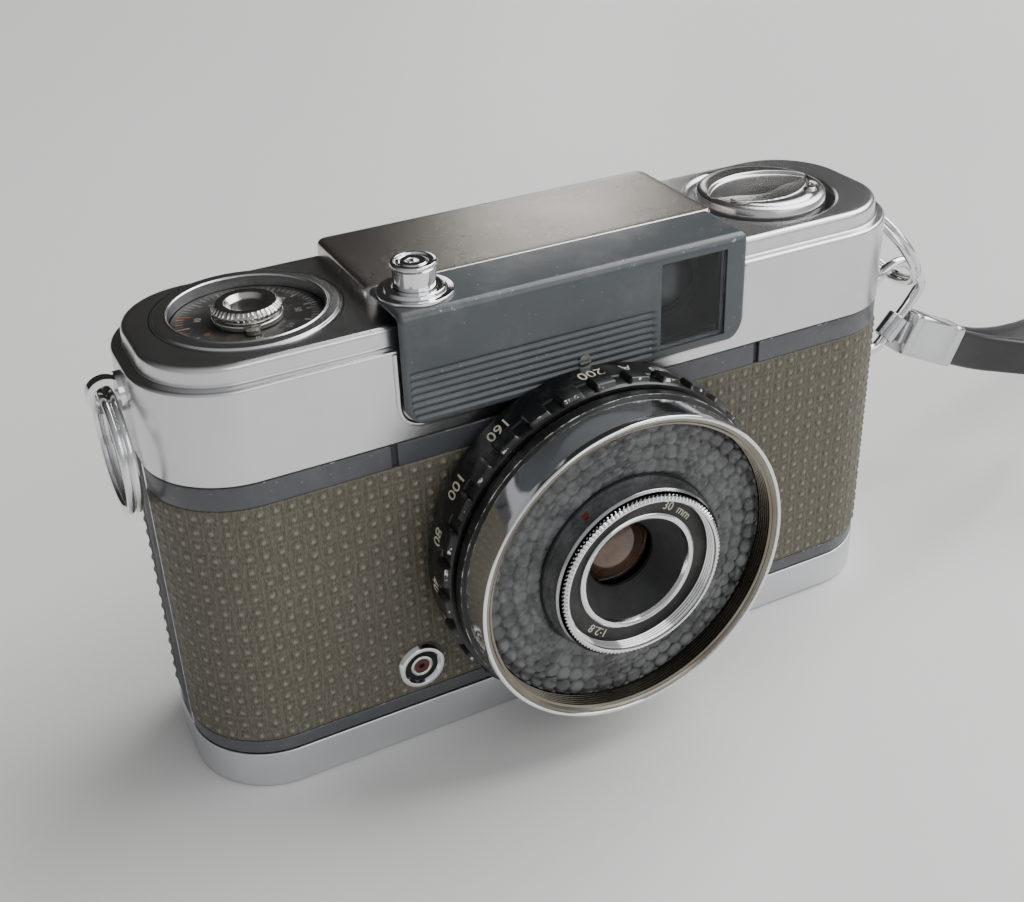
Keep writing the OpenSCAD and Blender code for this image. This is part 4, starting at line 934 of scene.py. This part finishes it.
def counter():
    """Dial marks, and the chrome setter: a milled rim with a hollow top over a disc and a tab."""
    dial_z = high("counter_dial", 2)
    marks, orange = [], []
    for k in range(72):
        t = math.radians(k * 5)
        long = k % 5 == 0
        radius = np.array([7.5 if long else 8.2, 9.2])
        width = 0.13 if long else 0.08
        side = np.array([-1, 1]) * width
        r, s = np.meshgrid(radius, side, indexing="ij")
        x = COUNTER[0] + r * math.cos(t) - s * math.sin(t)
        y = COUNTER[1] + r * math.sin(t) + s * math.cos(t)
        flat = np.stack([x, y, np.full_like(x, dial_z + 0.03)], -1)
        (orange if 30 <= k <= 36 and k % 2 == 0 else marks).append(patch(flat))
    piece("dial_marks", marks, WORN_PAINT, "camera", closed=False)
    piece("dial_marks_orange", orange, ORANGE_PAINT, "camera", closed=False)
    for k, number in enumerate((0, 10, 20, 30, 40, 50, 60, 70)):
        t = math.radians(200 - k * 42)

        def bend(p, t=t):
            """Writes outwards from the dial's centre, to be read from outside it."""
            r = 6.4 + p[:, 1]
            return np.stack([COUNTER[0] + r * math.cos(t) + p[:, 0] * math.sin(t),
                             COUNTER[1] + r * math.sin(t) - p[:, 0] * math.cos(t),
                             dial_z + 0.03 + p[:, 2]], -1)

        lettering(f"dial_number_{number}", str(number), 1.25, bend,
                  ORANGE_PAINT if number == 0 else WORN_PAINT, "camera")
    outer, foot, top = SETTER_R, dial_z + 0.15, high("counter_setter", 2)

    def milled(t, r, d):
        """Steps the rim in and out with the sign of sin 40 t."""
        rim = np.clip((r - outer + 0.7) / 0.5, 0, 1) * (d > foot + 1.2)
        return r + 0.112 * rim * np.sign(np.sin(40 * t))

    knob = [(0, top - 0.95), (outer - 2.3, top - 0.75, 0.5), (outer - 1.7, top - 0.05, 0.35),
            (outer - 0.6, top, 0.25), (outer, top - 0.7, 0.2), (outer - 0.1, foot + 1.0, 0.3),
            (outer - 0.7, foot + 0.75, 0.2), (outer - 0.6, foot + 0.6)]
    disc = [(0, foot + 0.75), (outer + 0.1, foot + 0.65, 0.2), (outer + 0.1, foot), (0, foot)]
    tab_x, tab_y = soften([(outer - 0.6, -1.2), (outer + 1.5, -0.8, 0.6), (outer + 1.5, 0.8, 0.6),
                           (outer - 0.6, 1.2)], 5)[0].T
    turn = math.radians(-100)
    ring_x = COUNTER[0] + tab_x * math.cos(turn) - tab_y * math.sin(turn)
    ring_y = COUNTER[1] + tab_x * math.sin(turn) + tab_y * math.cos(turn)
    tab = np.stack([np.stack([ring_x, ring_y, np.full_like(ring_x, h)], -1)
                    for h in (foot + 0.05, foot + 0.62)], 0)
    piece("counter_knob", [turned(knob, "up", COUNTER, 240, closed=False, steps=3, ripple=milled),
                           turned(disc, "up", COUNTER, 96, closed=False),
                           patch(tab, (False, True), caps=(0, -1))],
          WORN_CHROME, "counter", ["counter_setter"], "polished_metal")


counter()


def button():
    """Shutter button: a turned stem and head with a dished top, on a stepped collar."""
    at = centre("button_collar", 0, 1)
    top, seat = high("shutter_button", 2), low("button_collar", 2)
    head = [(0, top - 0.7), (0.7, top - 0.7, 0.1), (0.8, top - 0.12, 0.12), (1.7, top - 0.1, 0.15),
            (1.85, top - 0.3, 0.1), (2.3, top - 0.3, 0.1), (2.45, top, 0.15), (2.95, top - 0.05, 0.25),
            (3.1, top - 0.5, 0.2), (2.85, top - 0.75, 0.2), (2.75, top - 0.95, 0.2), (2.75, seat - 4),
            (0, seat - 4)]
    piece("button_head", [turned(head, "up", at, 96, closed=False)], CHROME, "button",
          ["shutter_button"], "polished_metal")
    collar = [(2.85, seat), (5.0, seat, 0.1), (5.0, seat + 0.45, 0.2), (4.1, seat + 0.5, 0.1),
              (3.9, seat + 1.0, 0.25), (2.85, seat + 1.0, 0.1)]
    piece("button_seat", [turned(collar, "up", at, 96)], CHROME, "camera", ["button_collar"],
          "polished_metal")


button()


def rewind_top():
    """Rewind knob: a drum turned in three bands. Its top is a height over (radius, angle): a thumb
    hollow where two circles overlap, a channel for the folding arm, and a rounded rim."""
    top, foot = high("rewind_knob", 2), low("rewind_knob", 2)
    outer = high("rewind_knob", 0) - KNOB[0]
    arm = outer - 1.6
    drum = [(outer - 0.95, top - 0.12), (outer - 0.35, top - 0.35, 0.4), (outer - 0.1, top - 1.2, 0.3),
            (outer - 0.1, foot + 2.6, 0.15), (outer - 0.5, foot + 2.2, 0.15),
            (outer - 0.5, foot + 1.9, 0.15), (outer, foot + 1.6, 0.25), (outer, foot, 0.2),
            (1.5, foot)]
    r = np.linspace(0, outer - 0.95, 60)
    t = np.arange(240) * 2 * math.pi / 240
    t, r = np.meshgrid(t, r, indexing="ij")
    x, y = r * np.cos(t), r * np.sin(t)

    def step(distance, width=0.35):
        """0 outside, 1 inside, over a soft edge."""
        share = np.clip(distance / width + 0.5, 0, 1)
        return share * share * (3 - 2 * share)

    upper = arm + 2 - np.hypot(x, y - 5.4)
    lower = arm + 2 - np.hypot(x, y + 4.6)
    hollow = step(np.minimum(upper, lower))
    inside = np.minimum(upper, lower)
    crescent = step(np.minimum(arm + 0.2 - np.hypot(x, y), np.hypot(x, y - arm * 0.62) - arm * 1.22 + 0.2),
                    0.25)
    height = top - 0.12 * np.clip((r / (outer - 0.95) - 0.9) / 0.1, 0, 1) ** 2
    height = height - hollow * (0.45 + 0.5 * np.clip(inside / 4, 0, 1)) - crescent * 1.3 * (1 - hollow)
    points = np.stack([KNOB[0] + x, KNOB[1] + y, height], -1)
    piece("knob_body", [turned(drum, "up", KNOB, 240, closed=False), patch(points, (True, False))],
          SATIN_KNOB, "rewind_head", ["rewind_knob"], "satin_metal", crease=55)
    crank_arm(top, arm)


def crank_arm(top, arm):
    """Folding arm: the crescent between two circles, as a grid from its left tip to its right, with
    a domed top, a dimple at the pivot and a small round nub at the far end."""
    first = math.radians(205)
    last = math.radians(338)
    t = np.linspace(first, last, 70)
    outer_edge = np.stack([arm * np.cos(t), arm * np.sin(t)], -1)
    inner_r, inner_y = arm * 1.22, arm * 0.62
    half = math.asin(min(1, arm * math.cos(first) * -1 / inner_r))
    s = np.linspace(-math.pi / 2 - half, -math.pi / 2 + math.asin(arm * math.cos(last) / inner_r), 70)
    inner_edge = np.stack([inner_r * np.cos(s), inner_y + inner_r * np.sin(s)], -1)
    across = np.linspace(0, 1, 13)[None, :, None]
    flat = outer_edge[:, None] * (1 - across) + inner_edge[:, None] * across
    crown = np.sin(np.linspace(0, math.pi, 13))[None] ** 0.5
    ends = np.clip(np.minimum(np.arange(70), np.arange(70)[::-1]) / 4, 0, 1)[:, None] ** 0.5
    dimple = np.exp(-((flat[..., 0] + arm * 0.74) ** 2 + (flat[..., 1] + arm * 0.45) ** 2) / 0.5)
    height = top - 0.75 + 0.7 * crown * ends - 0.35 * dimple
    points = np.concatenate([flat + np.array(KNOB), height[..., None]], -1)
    under = points[:, ::-1].copy()
    under[..., 2] = top - 1.35
    loop = np.concatenate([points, under], 1)
    nub_at = (KNOB[0] + arm * 0.62, KNOB[1] - arm * 0.64)
    nub = [(0, top + 0.55), (0.75, top + 0.5, 0.3), (1.0, top + 0.1, 0.3), (1.0, top - 0.6), (0, top - 0.6)]
    piece("crank_arm", [patch(loop, (False, True), wear_and_shade=np.concatenate([crown[0], crown[0] * 0]),
                              caps=(0, -1)), turned(nub, "up", nub_at, 40, closed=False)],
          SATIN_KNOB, "crank", ["rewind_crank"], "satin_metal", crease=60)


rewind_top()


# ---- lens ----


def exposure_ring():
    """Black ring: a plain rear band for the numbers, then 30 grips whose radius steps between
    slots as a square wave with soft sides."""
    outer = high("exposure_ring", 0) - LENS[0]
    d0, d1 = FRONT - high("exposure_ring", 1), FRONT - low("exposure_ring", 1)
    count = 30
    t = np.arange(count * 24) * 2 * math.pi / (count * 24)
    d = np.array([d0, d0, d0 + 0.2, d0 + 3.7, d0 + 3.85, d0 + 4.0, d0 + 4.2, d1 - 0.9, d1 - 0.65,
                  d1 - 0.45, d1 - 0.25, d1, d1])
    base = np.array([outer - 4, outer - 0.9, outer - 0.7, outer - 0.7, outer - 0.7, outer - 0.15, outer,
                     outer, outer - 0.12, outer - 0.5, outer - 0.7, outer - 0.85, outer - 4])
    grip = np.array([0, 0, 0, 0, 0, 0.6, 1, 1, 1, 0.8, 0, 0, 0])
    wave = np.cos(t * count)
    slot = np.clip((wave - 0.15) / 0.35, 0, 1)
    slot = slot * slot * (3 - 2 * slot)
    r = base[None] - 0.85 * slot[:, None] * grip[None]
    angle, _ = np.meshgrid(t, d, indexing="ij")
    points = around("lens", LENS, angle, r, np.broadcast_to(d, r.shape))
    wear_and_shade = np.zeros_like(r)
    wear_and_shade[:, 8:10] = 0.78
    wear_and_shade *= (1 - 0.8 * slot[:, None])
    piece("exposure_grips", [patch(points, (True, True), wear_and_shade=wear_and_shade)], BLACK, "exposure",
          ["exposure_ring"], "black_metal", crease=35)
    marks = [("8", 30), ("5.6", 42), ("4", 52), ("3.5", 64), ("A", 77), ("200", 90), ("160", 125),
             ("100", 147), ("80", 165), ("40", 183), ("20", 200), ("10", 216), ("11", 18), ("16", 6),
             ("22", 354)]
    for words, degrees in marks:
        t0 = math.radians(degrees)

        def bend(p, t0=t0):
            """Writes round the ring, to be read from behind: tops towards the front."""
            radius = outer - 0.7
            angle = t0 + p[:, 0] / radius
            reach = radius + 0.02 + p[:, 2]
            return np.stack([LENS[0] + reach * np.cos(angle), FRONT - (d0 + 2.3) - p[:, 1],
                             LENS[1] + reach * np.sin(angle)], -1)

        lettering(f"ring_mark_{words.replace('.', '_')}", words, 2.6, bend, WHITE_PAINT, "exposure")


exposure_ring()


def lens_rings():
    """The still rings: thin black collar, chrome bezel with a bright lip and fine inner threads,
    and the smooth skirt inside the clear ring."""
    d_bezel = FRONT - high("front_bezel", 1)
    d_rim = FRONT - low("front_bezel", 1)
    outer = high("front_bezel", 0) - LENS[0]
    collar = [(outer - 6, d_bezel - 1.7), (outer + 0.3, d_bezel - 1.7, 0.25), (outer + 0.3, d_bezel, 0.15),
              (outer - 6, d_bezel)]
    piece("black_collar", [turned(collar, "lens", LENS, 192)], BLACK, "camera", ["lens_collar"],
          "black_metal")
    thread = outer - 1.55
    threads = []
    for k in range(6):
        at = d_rim - 0.5 - 0.46 * k
        threads += [(thread + 0.34, at), (thread + 0.34, at - 0.1), (thread, at - 0.23),
                    (thread, at - 0.36)]
    profile = [(outer - 0.9, d_bezel), (outer - 0.1, d_bezel, 0.15), (outer, d_rim - 1.0, 0.1),
               (outer - 0.05, d_rim - 0.15, 0.15), (outer - 0.3, d_rim, 0.15),
               (outer - 0.55, d_rim - 0.12, 0.15), (outer - 0.65, d_rim - 0.4), (outer - 0.9, d_rim - 0.6)]
    wall = ([(outer - 0.85, d_bezel + 0.5), (outer - 0.6, d_rim - 0.3), (thread + 0.6, d_rim - 0.25, 0.05)]
            + threads + [(thread, d_rim - 3.4), (thread - 0.2, d_rim - 3.6), (outer - 7, d_rim - 3.9),
                         (outer - 7, d_bezel + 0.5)])
    piece("bezel", [turned(profile, "lens", LENS, 192)], CHROME, "camera", ["front_bezel"],
          "polished_metal", crease=30)
    piece("bezel_thread", [turned(wall, "lens", LENS, 192)], THREAD, "camera", crease=20)
    foot = FRONT - high("inner_collar", 1)
    front = FRONT - low("inner_collar", 1)
    skirt_r = high("inner_collar", 0) - LENS[0]
    skirt = [(skirt_r - 0.8, foot), (skirt_r, foot), (skirt_r, foot + 2.2, 0.2),
             (skirt_r - 0.5, front - 0.3, 0.3), (skirt_r - 0.8, front)]
    piece("skirt", [turned(skirt, "lens", LENS, 160)], SKIRT, "camera", ["inner_collar"], "satin_metal")
    # A thin matt black band in the gap just outside the skirt: painted shade of the gap.
    line = [(skirt_r + 0.02, foot + 2.0), (skirt_r + 0.2, foot + 2.0), (skirt_r + 0.2, foot + 2.13),
            (skirt_r + 0.02, foot + 2.13)]
    piece("skirt_gap_shade", [turned(line, "lens", LENS, 160)], MATT_BLACK, "camera")
    dot = math.radians(125)
    at = skirt_r - 0.22
    radius, spin = np.meshgrid(np.linspace(0, 0.55, 4), np.arange(24) * math.pi / 12, indexing="ij")
    along, across = radius * np.cos(spin), radius * np.sin(spin)
    points = np.stack([LENS[0] + at * math.cos(dot) - across * math.sin(dot),
                       FRONT - (foot + 3.4) - along, LENS[1] + at * math.sin(dot) + across * math.cos(dot)],
                      -1)
    points[..., 0] += 0.06 * math.cos(dot)
    points[..., 2] += 0.06 * math.sin(dot)
    piece("focus_dot", [patch(points, (False, True))], RED_PAINT, "camera", closed=False)


lens_rings()


def clear_ring():
    """Clear moulding over the light cell: height over (angle, radius) is a dome in each cell of a
    packing whose rings hold the same number of cells, every second ring turned by half a cell."""
    foot = FRONT - high("meter_window", 1)
    outer_r = high("meter_window", 0) - LENS[0]
    inner_r = high("inner_collar", 0) - LENS[0] + 0.1
    cells, rings = 54, 4
    t = np.arange(cells * 14) * 2 * math.pi / (cells * 14)
    r = np.linspace(inner_r, outer_r, 62)
    angle, radius = np.meshgrid(t, r, indexing="ij")
    pitch = (outer_r - inner_r) / rings
    row = (radius - inner_r) / (outer_r - inner_r) * rings
    best = np.full(angle.shape, 9.0)
    for shift in (-1, 0, 1):
        k = np.floor(row) + shift
        turn = angle * cells / (2 * math.pi) + 0.5 * (k % 2)
        du = (turn - np.floor(turn) - 0.5) * 2 * math.pi * radius / cells
        dv = (row - k - 0.5) * pitch
        best = np.minimum(best, np.hypot(du, dv))
    dome = np.sqrt(np.maximum(1 - (best / (pitch * 0.68)) ** 2, 0.0))
    height = foot + 0.4 + 0.6 * dome * (0.8 + 0.2 * np.sin(7.3 * angle + 3.1 * radius))
    top = around("lens", LENS, angle, radius, height)
    under = around("lens", LENS, angle[:, [-1, 0]], radius[:, [-1, 0]], np.full((len(t), 2), foot))
    points = np.concatenate([top, under], 1)
    # The dome height is passed on as the rubbed value; the moulding's finish paints shade into the valleys
    # from it.
    piece("clear_ring", [patch(points, (True, True), wear_and_shade=np.pad(dome, ((0, 0), (0, 2))))], MOULDED,
          "camera", ["meter_window"], "meter_plastic", crease=70)


clear_ring()


def focus_group():
    """Knurled ring with 120 fine teeth, black name ring with plain marks, chrome lip, ribbed well
    and the front glass."""
    front = FRONT - low("focus_ring", 1)
    outer = high("focus_ring", 0) - LENS[0]

    def teeth(t, r, d):
        """Cuts the rim with a saw wave of the angle."""
        rim = (r > outer - 0.5) & (d > front - 0.75)
        saw = np.abs((t * 120 / (2 * math.pi)) % 1 - 0.5) * 2
        return np.where(rim, r - 0.28 * (1 - saw), r)

    thread = []
    for k in range(4):
        at = front - 0.4 - 0.42 * k
        thread += [(11.42, at), (11.2, at - 0.2), (11.2, at - 0.3)]
    profile = ([(10.4, front - 9), (outer - 0.15, front - 9), (outer - 0.15, front - 0.85),
                (outer, front - 0.7), (outer, front - 0.35), (outer - 0.3, front - 0.08),
                (outer - 0.55, front, 0.05), (11.45, front - 0.05, 0.1)]
               + thread + [(11.2, front - 2.6), (10.4, front - 2.6)])
    piece("knurled_ring", [turned(profile, "lens", LENS, 720, steps=2, ripple=teeth)], CHROME, "focus",
          ["focus_ring"], "polished_metal", crease=30)
    face = front - 1.9
    name = [(8.75, face - 1), (11.15, face - 1), (11.15, face, 0.1), (8.75, face, 0.1)]
    piece("black_face", [turned(name, "lens", LENS, 128)], DIAL_BLACK, "focus", ["name_ring"],
          "dial_black")
    line_r = 9.95
    for words, degrees in (("30", 62), ("mm", 44), ("1:2.8", 232)):
        t0 = math.radians(degrees)

        def bend(p, t0=t0):
            """Writes round the face, to be read from the front: tops outwards."""
            angle = t0 - p[:, 0] / line_r
            radius = line_r + p[:, 1]
            return np.stack([LENS[0] + radius * np.cos(angle), FRONT - face - 0.02 - p[:, 2],
                             LENS[1] + radius * np.sin(angle)], -1)

        lettering(f"face_mark_{degrees}", words, 1.75, bend, WHITE_PAINT, "focus")
    mouth = front - 1.7
    lip = [(8.9, mouth - 0.6), (8.9, mouth + 0.1, 0.1), (8.55, mouth + 0.3, 0.15), (8.1, mouth + 0.1, 0.1),
           (7.85, mouth - 0.45), (8.0, mouth - 0.7)]
    piece("well_lip", [turned(lip, "lens", LENS, 128)], CHROME, "focus")
    rib_count = 20
    glass_front = front - 6.05
    share = np.linspace(0, 1, rib_count * 4 + 1)
    ribs = 0.09 * np.abs((share * rib_count) % 1 - 0.5) * 2
    radius = 7.8 - (7.8 - 5.0) * share + ribs
    depth = mouth - 0.4 - (mouth - 0.4 - glass_front) * share
    well = list(zip(radius, depth))
    well += [(5.0, glass_front - 0.4), (8.6, glass_front - 0.4), (8.6, mouth - 0.7)]
    piece("well", [turned(well, "lens", LENS, 128)], MATT_BLACK, "focus", ["lens_cone"], "black_matte",
          crease=20)
    r = np.linspace(0, 5.1, 16)
    dome = glass_front + 0.15 - (9 - np.sqrt(81 - r**2))
    glass = list(zip(r, dome)) + [(5.1, glass_front - 2.5), (0, glass_front - 2.5)]
    piece("front_glass", [turned(glass, "lens", LENS, 96, closed=False)], AMBER, "focus",
          ["front_element"], "lens_glass")


focus_group()


def flash_socket():
    """Flash socket: polished ring with a black recess, an inner ring, and a red-brown insulator."""
    outer = high("sync_ring", 0) - SYNC[0]
    ring = [(2.4, 0.1), (2.4, 0.55, 0.1), (2.75, 0.95, 0.2), (3.3, 0.95, 0.25), (outer, 0.3, 0.2),
            (outer, -0.5), (2.4, -0.5)]
    floor = [(0, 0.12), (2.45, 0.12), (2.45, -0.3), (0, -0.3)]
    inner = [(1.15, 0.1), (1.15, 0.5, 0.08), (1.35, 0.6, 0.08), (1.65, 0.5, 0.08), (1.65, 0.1)]
    core = [(0.42, 0.15), (0.42, 0.45, 0.05), (1.15, 0.4, 0.05), (1.15, 0.1)]
    piece("socket_ring", [turned(ring, "lens", SYNC, 72)], CHROME, "camera", ["sync_ring"],
          "polished_metal")
    piece("socket_floor", [turned(floor, "lens", SYNC, 48, closed=False)], MATT_BLACK, "camera")
    piece("socket_inner", [turned(inner, "lens", SYNC, 48)], WORN_CHROME, "camera")
    piece("socket_core", [turned(core, "lens", SYNC, 48)], INSULATOR, "camera", ["sync_insulator"],
          "insulator")


flash_socket()


# ---- rings and clamp ----

LOOP_POINTS = [[63.8, 45.5], [69.3, 47.9], [73.9, 43.6], [72.0, 39.7],
               [68.5, 36.0], [65.7, 33.05], [61.9, 33.6], [60.9, 39.5]]


def strap_loop():
    """Wire loop: a round section carried along a closed curve through a few points."""
    p = np.array(LOOP_POINTS)
    closed = smooth_line(np.vstack([p[-1:], p, p[:2]])[:, [0, 0, 1]], 12)
    line = closed[12:12 + 12 * len(p)]
    line[:, 1] = 0
    along = np.roll(line, -1, 0) - np.roll(line, 1, 0)
    along /= np.linalg.norm(along, axis=1, keepdims=True)
    side = np.stack([-along[:, 2], np.zeros(len(line)), along[:, 0]], -1)
    t = np.arange(16) * math.pi / 8
    section = 0.95 * (side[:, None] * np.cos(t)[None, :, None]
                      + np.array([0, 1, 0]) * np.sin(t)[None, :, None])
    piece("strap_loop", [patch(line[:, None] + section, (True, True))], CHROME, "link",
          ["strap_ring"], "polished_metal", crease=60)


strap_loop()


def clamp():
    """Strap clamp: a folded sheet round the band's ends, with rounded edges and two pressed lines,
    and a rolled barrel round the wire."""
    bar = np.array([68.6, 0, 36.1])
    up = np.array([STRAP_DIRECTION[2], 0, -STRAP_DIRECTION[0]]) * -1
    section, wear_and_shade = soften([(2.55, 3.75, 0.9), (-2.55, 3.75, 0.9), (-2.55, -3.75, 0.9),
                            (2.55, -3.75, 0.9)], 5)
    reach = np.array([2.6, 2.75, 3.0, 4.2, 4.45, 4.7, 13.2, 13.45, 13.7, 15.1, 15.35, 15.5])
    shrink = np.array([0.35, 0.12, 0, 0, 0.16, 0, 0, 0.16, 0, 0, 0.12, 0.35])
    size = 1 - shrink[:, None] / np.hypot(2.55, 3.75)
    y, h = section[None, :, 0] * size, section[None, :, 1] * size
    body = (bar + reach[:, None, None] * STRAP_DIRECTION + y[..., None] * np.array([0, 1, 0])
            + h[..., None] * up)
    along = np.array([3.5, 0, 3.7]) / math.hypot(3.5, 3.7)
    cross = np.array([-along[2], 0, along[0]])
    t = np.arange(32) * math.pi / 16
    rings = [(-2.2, 1.35), (-2.2, 1.75), (-2.1, 1.85), (2.1, 1.85), (2.2, 1.75), (2.2, 1.35)]
    barrel = np.stack([bar + along * a + r * (cross * np.cos(t)[:, None]
                                              + np.array([0, 1, 0]) * np.sin(t)[:, None])
                       for a, r in rings])
    neck_ring = np.array([(1.75, 1.9), (-1.75, 1.9), (-1.75, -1.9), (1.75, -1.9)])
    neck = np.stack([bar + a * STRAP_DIRECTION + neck_ring[:, :1] * np.array([0, 1, 0])
                     + neck_ring[:, 1:] * up for a in (1.4, 2.9)])
    piece("band_clamp", [patch(body, (False, True), wear_and_shade=wear_and_shade[None], caps=(0, -1)),
                         patch(barrel, (True, True)), patch(neck, (False, True), caps=(0, -1))],
          CLAMP_METAL, "strap", ["strap_clamp"], "polished_metal")


clamp()


def side_beads():
    """A bright rounded bead up each side, where the front shell meets the back."""
    t = np.arange(12) * math.pi / 6
    beads = []
    for side in (-1, 1):
        x = side * (HALF_W - 0.3) + 0.3 * np.cos(t)
        y = SEAM_Y + 0.28 * np.sin(t)
        beads.append(patch(np.stack([np.stack([x, y, np.full_like(x, h)], -1)
                                     for h in (STRIP_Z + 0.1, COVER_Z - 0.2)]), (False, True),
                           caps=(0, -1)))
    piece("side_beads", beads, CHROME, "camera")


side_beads()


# ---- frame pieces that keep their own shape ----


def dress(node, material):
    """Gives a node of the frame its finish."""
    mesh = bpy.data.objects[node].data
    mesh.materials.clear()
    mesh.materials.append(material)


# The front shell is given the near black of painted seam shade.
for node, finish in {
    "chassis": CAST, "front_shell": SEAM_SHADE_BLACK, "fascia_screw": WORN_CHROME, "viewfinder_glass": WINDOW,
    "viewfinder_tube": MATT_BLACK, "viewfinder_eyepiece": PLASTIC, "counter_dial": DIAL_BLACK,
    "rewind_shaft": STEEL, "rewind_fork": STEEL, "crank_pin": STEEL, "advance_wheel": SATIN,
    "film_sprocket": STEEL, "take_up_spool": PLASTIC, "film_gate": STEEL, "tripod_socket": BRASS,
    "pressure_plate": BLACK, "pressure_spring": STEEL, "lock_key": SATIN, "lock_plate": STEEL,
    "rewind_release": CHROME, "lens_flange": BLACK, "lens_barrel": MATT_BLACK,
    "selenium_cell": CELL, "rear_element": AMBER, "shutter_housing": MATT_BLACK,
    "shutter_blade_left": STEEL, "shutter_blade_right": STEEL, "lug_left": CHROME,
    "lug_right": CHROME, "split_ring_left": CHROME, "split_ring_right": CHROME,
}.items():
    dress(node, finish)


# ---- table, room and lights ----


def table_top():
    """A pale table top, much larger than the view."""
    half = 2.5
    mesh = bpy.data.meshes.new("table")
    mesh.from_pydata([(-half, -half, 0), (half, -half, 0), (half, half, 0), (-half, half, 0)], [],
                     [(0, 1, 2, 3)])
    f = Finish("Table top", Specular_IOR_Level=0.4)
    cloud = use(f, MOTTLE, Scale=6, Low=0.2, High=0.8)["Mask"]
    f.feed("Base Color", blend_colours(f, cloud, (0.87, 0.865, 0.845, 1), (0.84, 0.835, 0.815, 1)))
    f.feed("Roughness", rise(f, cloud, 0.38, 0.5))
    top = bpy.data.objects.new("table", mesh)
    mesh.materials.append(f.material)
    bpy.context.scene.collection.objects.link(top)


def area_light(name, place, aim, size, power, colour=(1, 1, 1)):
    """A square soft light that faces a point."""
    data = bpy.data.lights.new(name, "AREA")
    data.shape = "RECTANGLE"
    data.size, data.size_y = size
    data.energy = power
    data.color = colour
    lamp = bpy.data.objects.new(name, data)
    bpy.context.scene.collection.objects.link(lamp)
    back = np.array(place, float) - np.array(aim, float)
    back /= np.linalg.norm(back)
    right = np.cross([0, 0, 1], back)
    right /= np.linalg.norm(right)
    placed = np.eye(4)
    placed[:3, 0], placed[:3, 1], placed[:3, 2], placed[:3, 3] = right, np.cross(back, right), back, place
    lamp.matrix_world = Matrix(placed.tolist())


def room():
    """Dim room: brighter at the front, darker at the back."""
    world = bpy.data.worlds.new("Room")
    world.use_nodes = True
    tree = world.node_tree
    shade = tree.nodes["Background"]
    toward = add_node(tree, "ShaderNodeTexCoord").outputs["Generated"]
    split = add_node(tree, "ShaderNodeSeparateXYZ", {"Vector": toward})
    ahead = add_node(tree, "ShaderNodeMapRange", {
        "Value": split.outputs["Y"], "From Min": 0.6, "From Max": -0.8}).outputs["Result"]
    tone = add_node(tree, "ShaderNodeMix", {"Factor": ahead, 6: (0.035, 0.034, 0.031, 1),
                                            7: (0.66, 0.665, 0.68, 1)}, data_type="RGBA").outputs[2]
    tree.links.new(tone, shade.inputs["Color"])
    shade.inputs["Strength"].default_value = 0.9
    bpy.context.scene.world = world


table_top()
room()
area_light("window", (1.1, 0.1, 1.25), (0.05, 0, 0.03), (1.6, 1.3), 37, (0.99, 0.995, 1.0))
area_light("far window", (0.95, 1.75, 0.70), (0, 0, 0.06), (0.3, 0.4), 1.0, (1.0, 0.985, 0.95))
area_light("front window", (0.5, -1.2, 0.8), (0, 0, 0.03), (1.4, 0.8), 6, (0.97, 0.985, 1.0))
